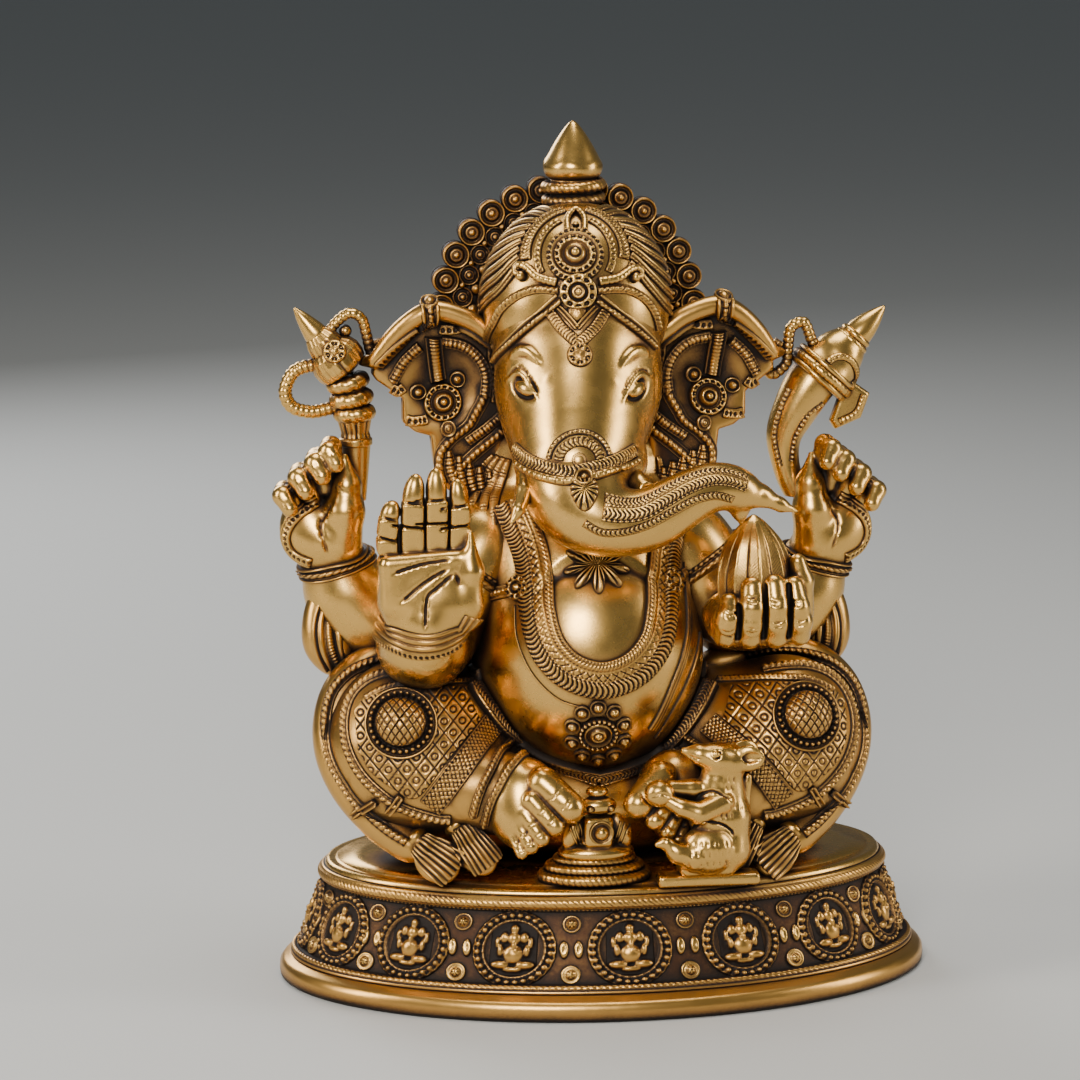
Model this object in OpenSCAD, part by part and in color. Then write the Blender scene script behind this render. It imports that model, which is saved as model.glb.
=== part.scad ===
// Seated four-armed elephant-headed figure in cast brass, on a hollow elliptical plinth.
// Every part is a separate casting, brazed to its neighbours. Front faces -Y, +Z is up,
// and the origin is the middle of the plinth's footprint. Millimetres.

/* [Plinth] */
// Half length of the foot rim along X
rim_a = 100; // [96:0.5:104]
// Half depth of the foot rim along Y
rim_b = 62; // [58:0.5:66]
// Thickness of the foot rim
rim_h = 7.5; // [5:0.5:9]
// Height of the top of the sloped wall
wall_top = 32; // [30:0.5:33]
// Height of the top of the deck
deck_top = 38; // [37:0.5:39]
// Thickness of the cast plinth wall
plinth_wall_t = 4; // [3:0.5:5]
// Number of medallions round the wall
medallion_count = 16; // [12:2:18]

/* [Figure] */
// Sideways place of the figure's middle line at the seat
seat_x = -4; // [-6:0.5:0]
// Sideways place of the figure's middle line at the shoulders
chest_x = -7; // [-8:0.5:-2]
// Sideways place of the figure's middle line at the head
head_x = -9.5; // [-11:0.5:-6]
// Wall thickness of the hollow torso casting
torso_wall_t = 4.5; // [3.5:0.5:6]
// Radius of the belly
belly_r = 31; // [29:0.5:33]

/* [Head] */
// Overall height of the figure, to the finial's tip
total_h = 260; // [256:0.5:264]
// Radius of the crown cap
crown_r = 27.5; // [26:0.5:28.5]
// Radius of the halo plate
halo_r = 42.5; // [40:0.5:44]
// Thickness of the halo plate
halo_t = 5; // [4:0.5:7]
// Number of round bosses along the halo's edge
halo_boss_count = 17; // [9:1:29]
// Radius of the hollow inside the head
head_core_r = 12.5; // [8:0.5:15]
// Thickness of an ear
ear_t = 5; // [4:0.5:6]

/* [Hidden] */

polished = [0.83, 0.66, 0.36];
antiqued = [0.66, 0.47, 0.22];
ball_fn = 14;
round_fn = 48;
big = 400;

// ---------- shared shapes ----------

module ball(p, r) hull() translate(p) sphere(r, $fn = ball_fn);

module limb(a, ra, b, rb) hull() {
    ball(a, ra);
    ball(b, rb);
}

// A chain of tapering limbs through a list of [x, y, z, radius]
module chain(points) for (i = [0 : len(points) - 2])
    limb(xyz(points[i]), points[i][3], xyz(points[i + 1]), points[i + 1][3]);

function xyz(p) = [p[0], p[1], p[2]];

// The mirror image of the children across the plane X = middle
module mirrored(middle) translate([2 * middle, 0, 0]) mirror([1, 0, 0]) children();

function ellipse(a, b, n = round_fn) =
    [for (i = [0 : n - 1]) [a * cos(360 * i / n), b * sin(360 * i / n)]];

// A ring of elliptical section, straight sided
module ellipse_ring(a, b, t, z0, z1) translate([0, 0, z0]) linear_extrude(z1 - z0) difference() {
    polygon(ellipse(a, b));
    polygon(ellipse(a - t, b - t));
}

module below(z) translate([-big / 2, -big / 2, z - big]) cube([big, big, big]);

// The way the casting core came out: up from the hollow plinth into the hollow torso
module core_hole() translate([chest_x, 4, 0]) cylinder(h = deck_top + 20, r = 16, $fn = 48);

// A round stud standing out of the wall at p, where the wall faces yaw and leans back by tilt
module stud(p, yaw, tilt, r, h)
    translate(p) rotate([0, 0, yaw]) rotate([90 - tilt, 0, 0]) cylinder(h = h, r = r, $fn = 24);

// A torus with its hole along Z
module torus(major, minor) rotate_extrude($fn = 48) translate([major, 0]) circle(minor, $fn = 24);

// A torus at p whose hole runs along the direction given by two angles
module ring_at(p, turn, major, minor) translate(p) rotate(turn) torus(major, minor);

// ---------- plinth ----------

wall_foot = [94, 53];
wall_head = [83, 45];
deck_axes = [80, 42];
cavity_axes = [72, 38];
wall_lean = atan((wall_foot[1] - wall_head[1]) / (wall_top - rim_h));

module foot_rim() color(antiqued)
    translate([0, 0, 0]) linear_extrude(rim_h) difference() {
        polygon(ellipse(rim_a, rim_b));
        polygon(ellipse(cavity_axes[0] + 6, cavity_axes[1] + 4));
    }

module tapered_ellipse(low, high, z0, z1) hull() {
    translate([0, 0, z0]) linear_extrude(0.01) polygon(ellipse(low[0], low[1]));
    translate([0, 0, z1 - 0.01]) linear_extrude(0.01) polygon(ellipse(high[0], high[1]));
}

module plinth_wall() color(antiqued) difference() {
    tapered_ellipse(wall_foot, wall_head, rim_h, wall_top);
    tapered_ellipse(wall_foot - [1, 1] * plinth_wall_t * 1.2, wall_head - [1, 1] * plinth_wall_t * 1.2,
                    rim_h - 0.02, wall_top + 0.02);
}

// Point on the wall's outer face at angle t from the front, and the outward yaw there
function wall_mid(t, s) = let (a = wall_foot[0] + (wall_head[0] - wall_foot[0]) * s,
                               b = wall_foot[1] + (wall_head[1] - wall_foot[1]) * s)
    [a * sin(t), -b * cos(t), rim_h + (wall_top - rim_h) * s];
function wall_yaw(t) = atan2(sin(t) * wall_foot[1], cos(t) * wall_foot[0]);
function medallion_r(t) = 10 * (0.62 + 0.38 * abs(cos(t)));

module plinth_medallions() color(polished) for (k = [0 : medallion_count - 1]) {
    t = 360 * k / medallion_count;
    stud(wall_mid(t, 0.5), wall_yaw(t), wall_lean, medallion_r(t), 2.2);
}

module plinth_studs() color(polished) for (k = [0 : medallion_count - 1], s = [0.24, 0.78]) {
    t = 360 * (k + 0.5) / medallion_count;
    stud(wall_mid(t, s), wall_yaw(t), wall_lean, 2.3, 2.4);
}

module deck_moulding() color(antiqued) ellipse_ring(85.5, 47.5, 9, wall_top, wall_top + 3);

module deck_plate() color(polished) difference() {
    translate([0, 0, wall_top + 3]) linear_extrude(deck_top - wall_top - 3)
        polygon(ellipse(deck_axes[0], deck_axes[1]));
    core_hole();
}

// ---------- torso and what it wears ----------

module torso_form(inset) {
    limb([chest_x, -8, 98], belly_r - inset, [chest_x, 0, 118], 27 - inset);
    limb([chest_x, 4, 60], 27 - inset, [chest_x, -4, 92], 29 - inset);
    limb([chest_x - 20, 6, 58], 18 - inset, [chest_x + 20, 6, 58], 18 - inset);
    limb([chest_x - 26, 5, 137], 13 - inset, [chest_x + 26, 5, 137], 13 - inset);
    limb([chest_x, 0, 118], 27 - inset, [chest_x - 1, 2, 146], 17 - inset);
}

module torso() color(polished) difference() {
    torso_form(0);
    torso_form(torso_wall_t);
    core_hole();
    below(deck_top);
}

module waist_belt() color(antiqued) difference() {
    chain([[-38, -2, 98, 3], [-34, -24, 84, 3], [-22, -36, 74, 3], [chest_x, -41, 69, 3],
           [8, -36, 74, 3], [20, -24, 84, 3], [24, -2, 98, 3]]);
    torso_form(0);
}

module facing_front(p) translate(p) rotate([90, 0, 0]) children();

module belt_rosette() color(polished) facing_front([-8, -34, 84]) {
    cylinder(h = 7, r = 6, $fn = 32);
    for (k = [0 : 9]) rotate(36 * k) translate([8.5, 0, 0]) cylinder(h = 5.5, r = 2.6, $fn = 20);
}

module sacred_thread() color(antiqued) difference() {
    chain([[14, -26, 118, 1.8], [18, -27, 108, 1.8], [14, -32, 96, 1.8], [7, -36, 86, 1.8]]);
    torso_form(0);
}

module long_necklace() color(antiqued) difference() {
    chain([[-31, -8, 146, 4], [-33, -22, 134, 4], [-31, -30, 118, 4], [-23, -37, 104, 4], [chest_x, -41, 96, 4],
           [10, -37, 104, 4], [17, -30, 118, 4], [19, -22, 134, 4], [17, -8, 146, 4]]);
    torso_form(0);
}

module leaf_pendant() color(antiqued) facing_front([-8, -25, 130]) linear_extrude(6)
    polygon([[-8, 8], [-9, 2], [-5, -1], [-4, -6], [0, -4], [4, -6], [5, -1], [9, 2], [8, 8]]);

module brooches() color(polished) for (x = [-29.5, 14.5])
    facing_front([x, -23, 125]) cylinder(h = 6, r = 4.2, $fn = 32);

// ---------- head ----------

module head_form() {
    limb([head_x, -6, 204], 24, [head_x - 0.5, -12, 184], 23);
    limb([head_x - 0.5, -12, 184], 23, [head_x - 2, -24, 165], 18);
    limb([head_x, 2, 196], 20, [head_x + 1, 2, 172], 18);
}

module head() color(polished) difference() {
    head_form();
    limb([head_x, -4, 204], head_core_r, [head_x, -1, 162], head_core_r);
    torso_form(0);
}

trunk_path = [[-12.5, -33, 159, 13], [-12, -41, 152, 10.5], [-8, -46, 148, 8.5], [-2, -47, 146, 7.6],
              [8, -47, 148, 7.2], [16, -46, 152, 6.6], [24, -45, 155.5, 6], [31, -44, 156, 5.6],
              [38, -43, 153.5, 4.2], [49, -42, 148.5, 1.2]];

module trunk() color(polished) difference() {
    chain(trunk_path);
    head_form();
    torso_form(0);
}

module whole_tusk() color(polished) difference() {
    chain([[-28, -32, 161, 4], [-30.5, -38, 155, 3], [-33, -41, 150, 1.6], [-34, -42, 148, 0.8]]);
    head_form();
    chain(trunk_path);
}

module broken_tusk() color(polished) difference() {
    chain([[2, -30, 162, 3.6], [4, -35, 159, 3.2], [5, -38, 157, 2.8]]);
    chain(trunk_path);
    head_form();
}

ear_outline = [[-33, 197], [-42, 204], [-52, 206], [-61, 200], [-69, 189], [-67, 184], [-61, 180], [-60, 171],
               [-53, 167], [-49, 158], [-46, 148], [-35, 150], [-30, 165], [-30, 185]];

module ear_form() translate([0, ear_t + 2, 0]) rotate([90, 0, 0]) linear_extrude(ear_t) polygon(ear_outline);

module ear_right() color(antiqued) difference() {
    ear_form();
    translate([head_x, 4, 184]) cylinder(h = 60, r = 22.5, center = true, $fn = 48);
}

module ear_left() color(antiqued) mirrored(-8) ear_right();

module ear_jewel_set() {
    for (j = [[-49, 177, 4.2], [-57, 184, 2.6], [-44, 186, 2.4], [-48, 167, 2.4]])
        facing_front([j[0], 2, j[1]]) cylinder(h = 4, r = j[2], $fn = 24);
}

module ear_jewels() color(polished) {
    ear_jewel_set();
    mirrored(-8) ear_jewel_set();
}

module crown_ball() ball([head_x, -4, 209], crown_r);

module crown_cap() color(polished) difference() {
    crown_ball();
    head_form();
    rotate([12, 0, 0]) below(196);
}

module crown_jewels() color(polished) {
    translate([-11, -23, 223]) rotate([62, 0, 0]) cylinder(h = 6, r = 7.5, $fn = 32);
    translate([-11.5, -27, 212]) rotate([80, 0, 0]) cylinder(h = 6, r = 4.4, $fn = 32);
    translate([-11, -15, 231]) rotate([40, 0, 0]) cylinder(h = 5, r = 2.8, $fn = 24);
}

module forehead_pendant() color(antiqued)
    translate([-12, -28, 196]) rotate([86, 0, 0]) cylinder(h = 5, r = 3.6, $fn = 32);

finial_z = total_h - 18;

module finial() color(polished) translate([-8.6, 8, finial_z]) rotate_extrude($fn = 64)
    polygon([[0, 0], [5.2, 0], [8.3, 4.5], [7.6, 7.5], [4.2, 13], [1, 17.6], [0, 18]]);

module finial_collars() color(antiqued) translate([-8.6, 7, 0]) {
    translate([0, 0, finial_z - 9]) cylinder(h = 9, r = 7, $fn = 48);
    for (z = [finial_z - 6.2, finial_z - 2]) translate([0, 0, z]) torus(7.9, 1.7);
}

module halo_plate() color(antiqued) difference() {
    translate([-8.5, 20 + halo_t, 200]) rotate([90, 0, 0]) cylinder(h = halo_t, r = halo_r - 3, $fn = 64);
    below(186);
    crown_ball();
    head_form();
}

module halo_bosses() color(antiqued) for (k = [0 : halo_boss_count - 1]) {
    turn = -8 + 196 * k / (halo_boss_count - 1);
    translate([-8.5 + (halo_r - 3.6) * cos(turn), 19.9, 200 + (halo_r - 3.6) * sin(turn)])
        rotate([90, 0, 0]) cylinder(h = 3, r = 3.9, $fn = 20);
}

// ---------- arms and what the hands hold ----------

rear_arm_path = [[-35, 10, 135, 11], [-62, 14, 106, 11], [-76, 11, 126, 8.5], [-84, 8, 138, 10]];

module rear_arm_form() {
    chain(rear_arm_path);
    for (f = [[-90, 6, 143, -96, 3, 147], [-87, 5, 146, -94, 2, 152],
              [-84, 5, 148, -88, 1, 156], [-82, 5, 148, -83, 1, 159]])
        limb([f[0], f[1], f[2]], 4, [f[3], f[4], f[5]], 3);
    limb([-79, 4, 142], 5, [-78, 5, 159], 2.6);
}

module rear_arm_right() color(polished) difference() {
    rear_arm_form();
    torso_form(0);
}

module rear_arm_left() color(polished) difference() {
    mirrored(-6) rear_arm_form();
    torso_form(0);
}

module palm_arm_form() {
    chain([[-34, -1, 133, 11.5], [-50, -4, 112, 11], [-57, -22, 109, 9.5], [-57, -29, 116, 8.5]]);
    hull() {
        ball([-65, -31, 120], 7);
        ball([-50, -31, 120], 7);
        ball([-67, -31, 134], 5);
        ball([-47, -31, 134], 5);
    }
    for (f = [[-69, 136, -67, 152, 3], [-62, 137, -60, 160, 3.4],
              [-54, 137, -54, 161, 3.4], [-47, 137, -48, 156, 3]])
        limb([f[0], -31, f[1]], f[4] + 0.6, [f[2], -31, f[3]], f[4]);
    limb([-46, -34, 126], 5, [-45.5, -35, 142], 3);
}

module front_arm_right() color(polished) difference() {
    palm_arm_form();
    torso_form(0);
    rear_arm_form();
    leg_form();
}

module modak() color(polished) hull() {
    ball([42, -31, 124], 10.5);
    ball([42, -31, 132], 8);
    ball([42, -31, 144], 1.4);
}

module offering_arm_form() {
    chain([[20, -1, 133, 11.5], [39, -4, 110, 11], [43, -20, 110, 9.5]]);
    hull() {
        ball([33, -27, 114], 7);
        ball([51, -27, 114], 7);
        ball([35, -33, 113], 6);
        ball([49, -33, 113], 6);
    }
    for (f = [[31, 126], [38, 132], [46, 132], [53, 127]])
        limb([f[0], -37, 113], 4, [f[0], -40, f[1]], 3.2);
}

module front_arm_left() color(polished) difference() {
    offering_arm_form();
    modak();
    torso_form(0);
    mirrored(-6) rear_arm_form();
    mirrored(seat_x) leg_form();
}

module bangles() color(antiqued) {
    ring_at([-78.5, 10.5, 127.5], [0, -32, 0], 9.2, 1.7);
    mirrored(-6) ring_at([-78.5, 10.5, 127.5], [0, -32, 0], 9.2, 1.7);
}

module armlets() color(antiqued) {
    ring_at([-43, -2.5, 121], [0, 35, 0], 11.5, 1.6);
    ring_at([30, -2.5, 121], [0, -38, 0], 11.5, 1.6);
}

module scarf_end() hull() {
    ball([-77, 14, 114], 3.5);
    ball([-83, 13, 98], 4.5);
    ball([-77, 13, 97], 4.5);
}

module elbow_scarves() color(antiqued) {
    difference() {
        scarf_end();
        rear_arm_form();
    }
    mirrored(-6) difference() {
        scarf_end();
        rear_arm_form();
    }
}

// A straight stack of turned sections: [height, radius below, radius above]
module turned(sections, i = 0, z = 0) if (i < len(sections)) {
    translate([0, 0, z]) cylinder(h = sections[i][0], r1 = sections[i][1], r2 = sections[i][2], $fn = 40);
    turned(sections, i + 1, z + sections[i][0]);
}

module goad() color(polished) translate([-73, 7, 156]) {
    turned([[8, 4.6, 4.8], [9, 5.4, 6], [15, 6.2, 7.2]]);
    translate([0, 0, 32]) rotate([0, -28, 0]) translate([0, 0, -4])
        turned([[6, 7, 8.6], [11, 8.6, 8], [4, 7.4, 6.6], [4, 5.6, 5], [8, 4.6, 1]]);
    translate([-14, 0, 26]) rotate([90, 0, 0]) torus(6.5, 2.2);
}

module horn_axe() color(polished) {
    chain([[59, 8, 152, 4], [57, 10, 163, 5], [59, 11, 174, 6], [65, 12, 184, 7],
           [72, 12, 190, 7.5], [78, 12, 196, 5.5], [83, 12, 200, 4], [89, 12, 205, 1.4]]);
    hull() {
        ball([76, 12, 182], 2.5);
        ball([81, 12, 174], 2.5);
        ball([73, 12, 171], 2.2);
    }
}

// ---------- legs, feet and shawl ----------

module leg_form() {
    limb([-27, 2, 74], 19, [-62, -12, 74], 20);
    limb([-62, -14, 74], 20, [-60, -19, 68], 18);
    limb([-60, -19, 68], 18, [-38, -34, 60], 12);
    limb([-62, -10, 64], 18, [-30, -4, 58], 18);
}

module leg_right() color(antiqued) difference() {
    leg_form();
    torso_form(0);
    below(deck_top);
}

module leg_left() color(antiqued) difference() {
    mirrored(seat_x) leg_form();
    torso_form(0);
    below(deck_top);
}

module foot_form() {
    chain([[-39, -36, 61, 11], [-28, -42, 60, 9], [-20, -46, 60, 7]]);
    for (t = [[-14, 64, 3.6], [-17.5, 57.5, 2.8], [-21, 54, 2.6], [-24.5, 51.5, 2.4], [-28, 49.5, 2.2]])
        limb([t[0] - 6, -47, t[1] + 2], t[2], [t[0], -49, t[1]], t[2]);
}

module foot_right() color(polished) difference() {
    foot_form();
    leg_form();
    torso_form(0);
}

module foot_left() color(polished) difference() {
    mirrored(seat_x - 2) translate([0, 2, 0]) foot_form();
    mirrored(seat_x) leg_form();
    torso_form(0);
    mouse_form();
    foot_form();
}

module knee_disc() translate([-66, -26, 86]) rotate([72, 0, -10]) cylinder(h = 8, r = 10.5, $fn = 40);

module knee_discs() color(antiqued) {
    difference() {
        knee_disc();
        leg_form();
    }
    mirrored(seat_x) difference() {
        knee_disc();
        leg_form();
    }
}

module anklet_pair() for (s = [0, 1])
    ring_at([-45 + 6 * s, -30.5 - 4 * s, 63.5 - 2.4 * s], [62, 0, 54], 12.5, 1.5);

module anklets() color(antiqued) {
    anklet_pair();
    mirrored(seat_x) anklet_pair();
}

shawl_path = [[-42, 6, 92, 3.4], [-60, 2, 95.5, 3.6], [-74, -2, 93, 4], [-83, -6, 84, 4],
              [-85, -11, 73, 4], [-80, -16, 61, 4], [-70, -24, 51, 4], [-58, -31, 44.5, 4]];

module shawl_right() color(antiqued) difference() {
    chain(shawl_path);
    leg_form();
    torso_form(0);
}

module shawl_left() color(antiqued) difference() {
    mirrored(seat_x) chain(shawl_path);
    mirrored(seat_x) leg_form();
    torso_form(0);
}

module tassel(x, y) hull() {
    ball([x, y, 46], 2.4);
    translate([x + 1, y - 3, 38.1]) cylinder(h = 2, r = 5, $fn = 20);
    translate([x + 8, y - 5, 38.1]) cylinder(h = 2, r = 4, $fn = 20);
}

module tassel_pair() {
    tassel(-56, -30);
    tassel(-43, -34);
}

module shawl_tassels() color(antiqued) difference() {
    union() {
        tassel_pair();
        mirrored(seat_x) tassel_pair();
    }
    leg_form();
    mirrored(seat_x) leg_form();
    chain(shawl_path);
    mirrored(seat_x) chain(shawl_path);
    mouse_form();
    mouse_plate();
    foot_form();
}

// ---------- offering stand and mouse ----------

mouse_y = -46;

module stand_ring() color(antiqued) translate([-8.5, -37, deck_top]) difference() {
    union() {
        cylinder(h = 3.4, r = 12, $fn = 48);
        translate([0, 0, 3.4]) cylinder(h = 2.6, r = 10.5, $fn = 48);
    }
    translate([-20, 4, -1]) cube([40, 20, 10]);
}

module offering_stand() color(polished) translate([-8.5, -43, deck_top + 6]) {
    turned([[4, 6, 6.4], [6, 6.4, 5.4], [5, 5, 4.2], [4, 3.4, 2.2]]);
}

module mouse_form() translate([0, mouse_y, 0]) {
    chain([[18.5, 2, 77, 1.2], [22, 2, 76, 3], [28, 2, 74.5, 4.8], [29, 2, 66, 4.6],
           [29, 1, 56, 6.5], [26, 0, 49, 8]]);
    limb([22, -3, 46], 3.4, [13, -3, 48], 2);
    limb([25, -2, 64], 3, [15, -2, 63], 2);
    limb([33, 3, 74], 3.4, [35, 4, 74], 3.2);
    chain([[35, 3, 44, 1.2], [36, 5, 58, 1.2], [35, 5, 70, 1.2]]);
}

module mouse_plate_form() linear_extrude(1.6) polygon(ellipse(15, 6, 24));

module mouse() color(polished) difference() {
    mouse_form();
    below(deck_top + 1.6);
}

module mouse_plate() color(polished) translate([25, mouse_y + 3, deck_top]) mouse_plate_form();

module mouse_sweet() color(polished) difference() {
    ball([11.5, mouse_y - 3, 65.5], 3.6);
    mouse_form();
}

foot_rim();
plinth_wall();
plinth_medallions();
plinth_studs();
deck_moulding();
deck_plate();
torso();
waist_belt();
belt_rosette();
sacred_thread();
long_necklace();
leaf_pendant();
brooches();
head();
trunk();
whole_tusk();
broken_tusk();
ear_right();
ear_left();
ear_jewels();
crown_cap();
crown_jewels();
forehead_pendant();
finial();
finial_collars();
halo_plate();
halo_bosses();
rear_arm_right();
rear_arm_left();
front_arm_right();
front_arm_left();
bangles();
armlets();
elbow_scarves();
goad();
horn_axe();
modak();
leg_right();
leg_left();
foot_right();
foot_left();
knee_discs();
anklets();
shawl_right();
shawl_left();
shawl_tassels();
offering_stand();
stand_ring();
mouse();
mouse_plate();
mouse_sweet();
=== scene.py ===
"""Seated elephant-headed figure in chased and antiqued brass, on an oval plinth with medallions.

Lengths are in millimetres until a mesh is made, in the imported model's own frame: the figure faces
-Y, +Z is up, and right and left are the figure's own. Rounded castings are modelled as clay on a
voxel grid, and chased ornament is laid over them as strips and bosses with cut patterns.
"""
from math import ceil, cos, exp, hypot, pi, radians, sin, sqrt

import bpy
import numpy as np
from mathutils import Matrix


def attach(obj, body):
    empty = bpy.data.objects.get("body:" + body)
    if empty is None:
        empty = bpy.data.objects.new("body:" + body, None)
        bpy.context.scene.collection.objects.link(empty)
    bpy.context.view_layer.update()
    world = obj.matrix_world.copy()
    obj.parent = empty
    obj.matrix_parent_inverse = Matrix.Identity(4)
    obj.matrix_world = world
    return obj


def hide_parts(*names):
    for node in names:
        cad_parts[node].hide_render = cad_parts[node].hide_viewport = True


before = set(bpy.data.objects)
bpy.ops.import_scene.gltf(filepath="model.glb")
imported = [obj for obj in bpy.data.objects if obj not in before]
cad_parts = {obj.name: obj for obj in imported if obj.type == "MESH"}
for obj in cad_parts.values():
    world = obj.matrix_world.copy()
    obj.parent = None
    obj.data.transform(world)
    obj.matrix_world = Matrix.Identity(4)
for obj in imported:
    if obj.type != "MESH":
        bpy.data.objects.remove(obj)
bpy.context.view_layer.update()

import openvdb
from mathutils import Vector

MM = 0.001


# ---------------------------------------------------------------- small vector help

def vec(*p):
    return np.array(p[0] if len(p) == 1 else p, float)


def unit(v):
    v = np.asarray(v, float)
    return v / np.maximum(np.linalg.norm(v, axis=-1, keepdims=True), 1e-9)


def flip_x(points, middle):
    """The mirror image of points, or of one point, across the plane X = middle."""
    points = np.array(points, float)
    points[..., 0] = 2 * middle - points[..., 0]
    return points


def smooth_path(points, step, loop=False):
    """A smooth curve through the points, resampled to even steps."""
    points = np.array(points, float)
    count = len(points)
    if count == 2:
        curve = points[0] + (points[1] - points[0]) * np.linspace(0, 1, 200)[:, None]
    else:
        if loop:
            knots = np.vstack([points[-1], points, points[:2]])
        else:
            knots = np.vstack([2 * points[0] - points[1], points, 2 * points[-1] - points[-2]])
        t = np.linspace(0, 1, 48, endpoint=False)[:, None]
        spans = []
        for i in range(count if loop else count - 1):
            a, b, c, d = knots[i:i + 4]
            spans.append(0.5 * (2 * b + (c - a) * t + (2 * a - 5 * b + 4 * c - d) * t ** 2
                                + (3 * b - a - 3 * c + d) * t ** 3))
        spans.append(points[:1] if loop else points[-1:])
        curve = np.vstack(spans)
    run = np.concatenate([[0], np.cumsum(np.linalg.norm(np.diff(curve[:, :3], axis=0), axis=1))])
    rows = max(4, int(round(run[-1] / step)) + 1)
    stops = np.linspace(0, run[-1], rows)[:-1] if loop else np.linspace(0, run[-1], rows)
    even = np.stack([np.interp(stops, run, curve[:, k]) for k in range(curve.shape[1])], axis=1)
    return even, stops, run[-1]


# ---------------------------------------------------------------- clay shapes
# A shape is its lowest corner, its highest corner and its distance function.

def ball(c, r):
    c = vec(c)
    return c - r, c + r, lambda x, y, z: np.sqrt((x - c[0]) ** 2 + (y - c[1]) ** 2 + (z - c[2]) ** 2) - r


def bone(a, b, ra, rb):
    """A rod with round ends that tapers from radius ra to rb."""
    a, b = vec(a), vec(b)
    ab = b - a
    span = max(float(ab @ ab), 1e-6)
    big = max(ra, rb)

    def far(x, y, z):
        x, y, z = x - a[0], y - a[1], z - a[2]
        h = np.clip((x * ab[0] + y * ab[1] + z * ab[2]) / span, 0, 1)
        from_axis = np.sqrt((x - ab[0] * h) ** 2 + (y - ab[1] * h) ** 2 + (z - ab[2] * h) ** 2)
        return from_axis - (ra + (rb - ra) * h)
    return np.minimum(a, b) - big, np.maximum(a, b) + big, far


def turned_axes(along, up=(0, 0, 1)):
    """Rows: a unit vector along, one sideways, and one near up."""
    along = unit(along)
    side = np.cross(along, up)
    if np.linalg.norm(side) < 1e-3:
        side = np.cross(along, (1, 0, 0))
    side = unit(side)
    return np.stack([along, side, np.cross(side, along)])


def egg(c, radii, axes=None):
    """An ellipsoid whose radii run along the rows of axes."""
    c, radii = vec(c), vec(radii)
    axes = np.eye(3) if axes is None else axes
    reach = np.sqrt(((axes * radii[:, None]) ** 2).sum(0))

    def far(x, y, z):
        x, y, z = x - c[0], y - c[1], z - c[2]
        q = [(axes[k, 0] * x + axes[k, 1] * y + axes[k, 2] * z) / radii[k] for k in range(3)]
        k0 = np.sqrt(q[0] ** 2 + q[1] ** 2 + q[2] ** 2)
        k1 = np.sqrt((q[0] / radii[0]) ** 2 + (q[1] / radii[1]) ** 2 + (q[2] / radii[2]) ** 2)
        return k0 * (k0 - 1) / np.maximum(k1, 1e-6)
    return c - reach, c + reach, far


def brick(c, half, edge, axes=None):
    """A box of half sizes half along the rows of axes, with edges rounded to radius edge."""
    c, half = vec(c), vec(half)
    axes = np.eye(3) if axes is None else axes
    reach = (np.abs(axes) * half[:, None]).sum(0)

    def far(x, y, z):
        x, y, z = x - c[0], y - c[1], z - c[2]
        q = [np.abs(axes[k, 0] * x + axes[k, 1] * y + axes[k, 2] * z) - half[k] + edge for k in range(3)]
        outside = np.sqrt(sum(np.maximum(v, 0) ** 2 for v in q))
        return outside + np.minimum(np.maximum(q[0], np.maximum(q[1], q[2])), 0) - edge
    return c - reach, c + reach, far


def hoop(c, axis, major, minor):
    """A round ring about an axis."""
    c, axis = vec(c), unit(axis)
    reach = np.sqrt(1 - axis ** 2) * major + minor

    def far(x, y, z):
        x, y, z = x - c[0], y - c[1], z - c[2]
        h = x * axis[0] + y * axis[1] + z * axis[2]
        r = np.sqrt(np.maximum(x * x + y * y + z * z - h * h, 0))
        return np.sqrt((r - major) ** 2 + h * h) - minor
    return c - reach, c + reach, far


def sheet(outline, y_of, thick, edge):
    """A plate of even thickness over an outline in X and Z, bent in Y as y_of(x, z) says."""
    outline = np.array(outline, float)
    low, high = outline.min(0), outline.max(0)

    def far(x, y, z):
        flat_x, flat_z = np.broadcast_arrays(x[:, 0, :], z[:, 0, :])
        best = np.full(flat_x.shape, 1e9)
        inside = np.ones(flat_x.shape)
        for a, b in zip(outline, np.roll(outline, -1, 0)):
            ex, ez = b - a
            wx, wz = flat_x - a[0], flat_z - a[1]
            h = np.clip((wx * ex + wz * ez) / (ex * ex + ez * ez), 0, 1)
            best = np.minimum(best, (wx - ex * h) ** 2 + (wz - ez * h) ** 2)
            crosses = (((a[1] > flat_z) != (b[1] > flat_z))
                       & (ex * wz * np.sign(b[1] - a[1]) > wx * ez * np.sign(b[1] - a[1])))
            inside = np.where(crosses, -inside, inside)
        rim = (np.sqrt(best) * inside + edge)[:, None, :]
        face = np.abs(y - y_of(x, z)) - thick / 2 + edge
        return (np.sqrt(np.maximum(rim, 0) ** 2 + np.maximum(face, 0) ** 2)
                + np.minimum(np.maximum(rim, face), 0) - edge)
    mid = [y_of(x, z) for x in (low[0], high[0]) for z in (low[1], high[1])] + [y_of(*outline.mean(0))]
    return (vec(low[0], min(mid) - thick, low[1]), vec(high[0], max(mid) + thick, high[1]), far)


def half_space(point, normal):
    """Everything on the side of a plane that the normal points away from."""
    point, normal = vec(point), unit(normal)
    wide = np.full(3, 1e4)

    def far(x, y, z):
        return (x - point[0]) * normal[0] + (y - point[1]) * normal[1] + (z - point[2]) * normal[2]
    return -wide, wide, far


def soft_min(a, b, soft):
    if soft <= 0:
        return np.minimum(a, b)
    h = np.clip(0.5 + 0.5 * (b - a) / soft, 0, 1)
    return b + (a - b) * h - soft * h * (1 - h)


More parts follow.
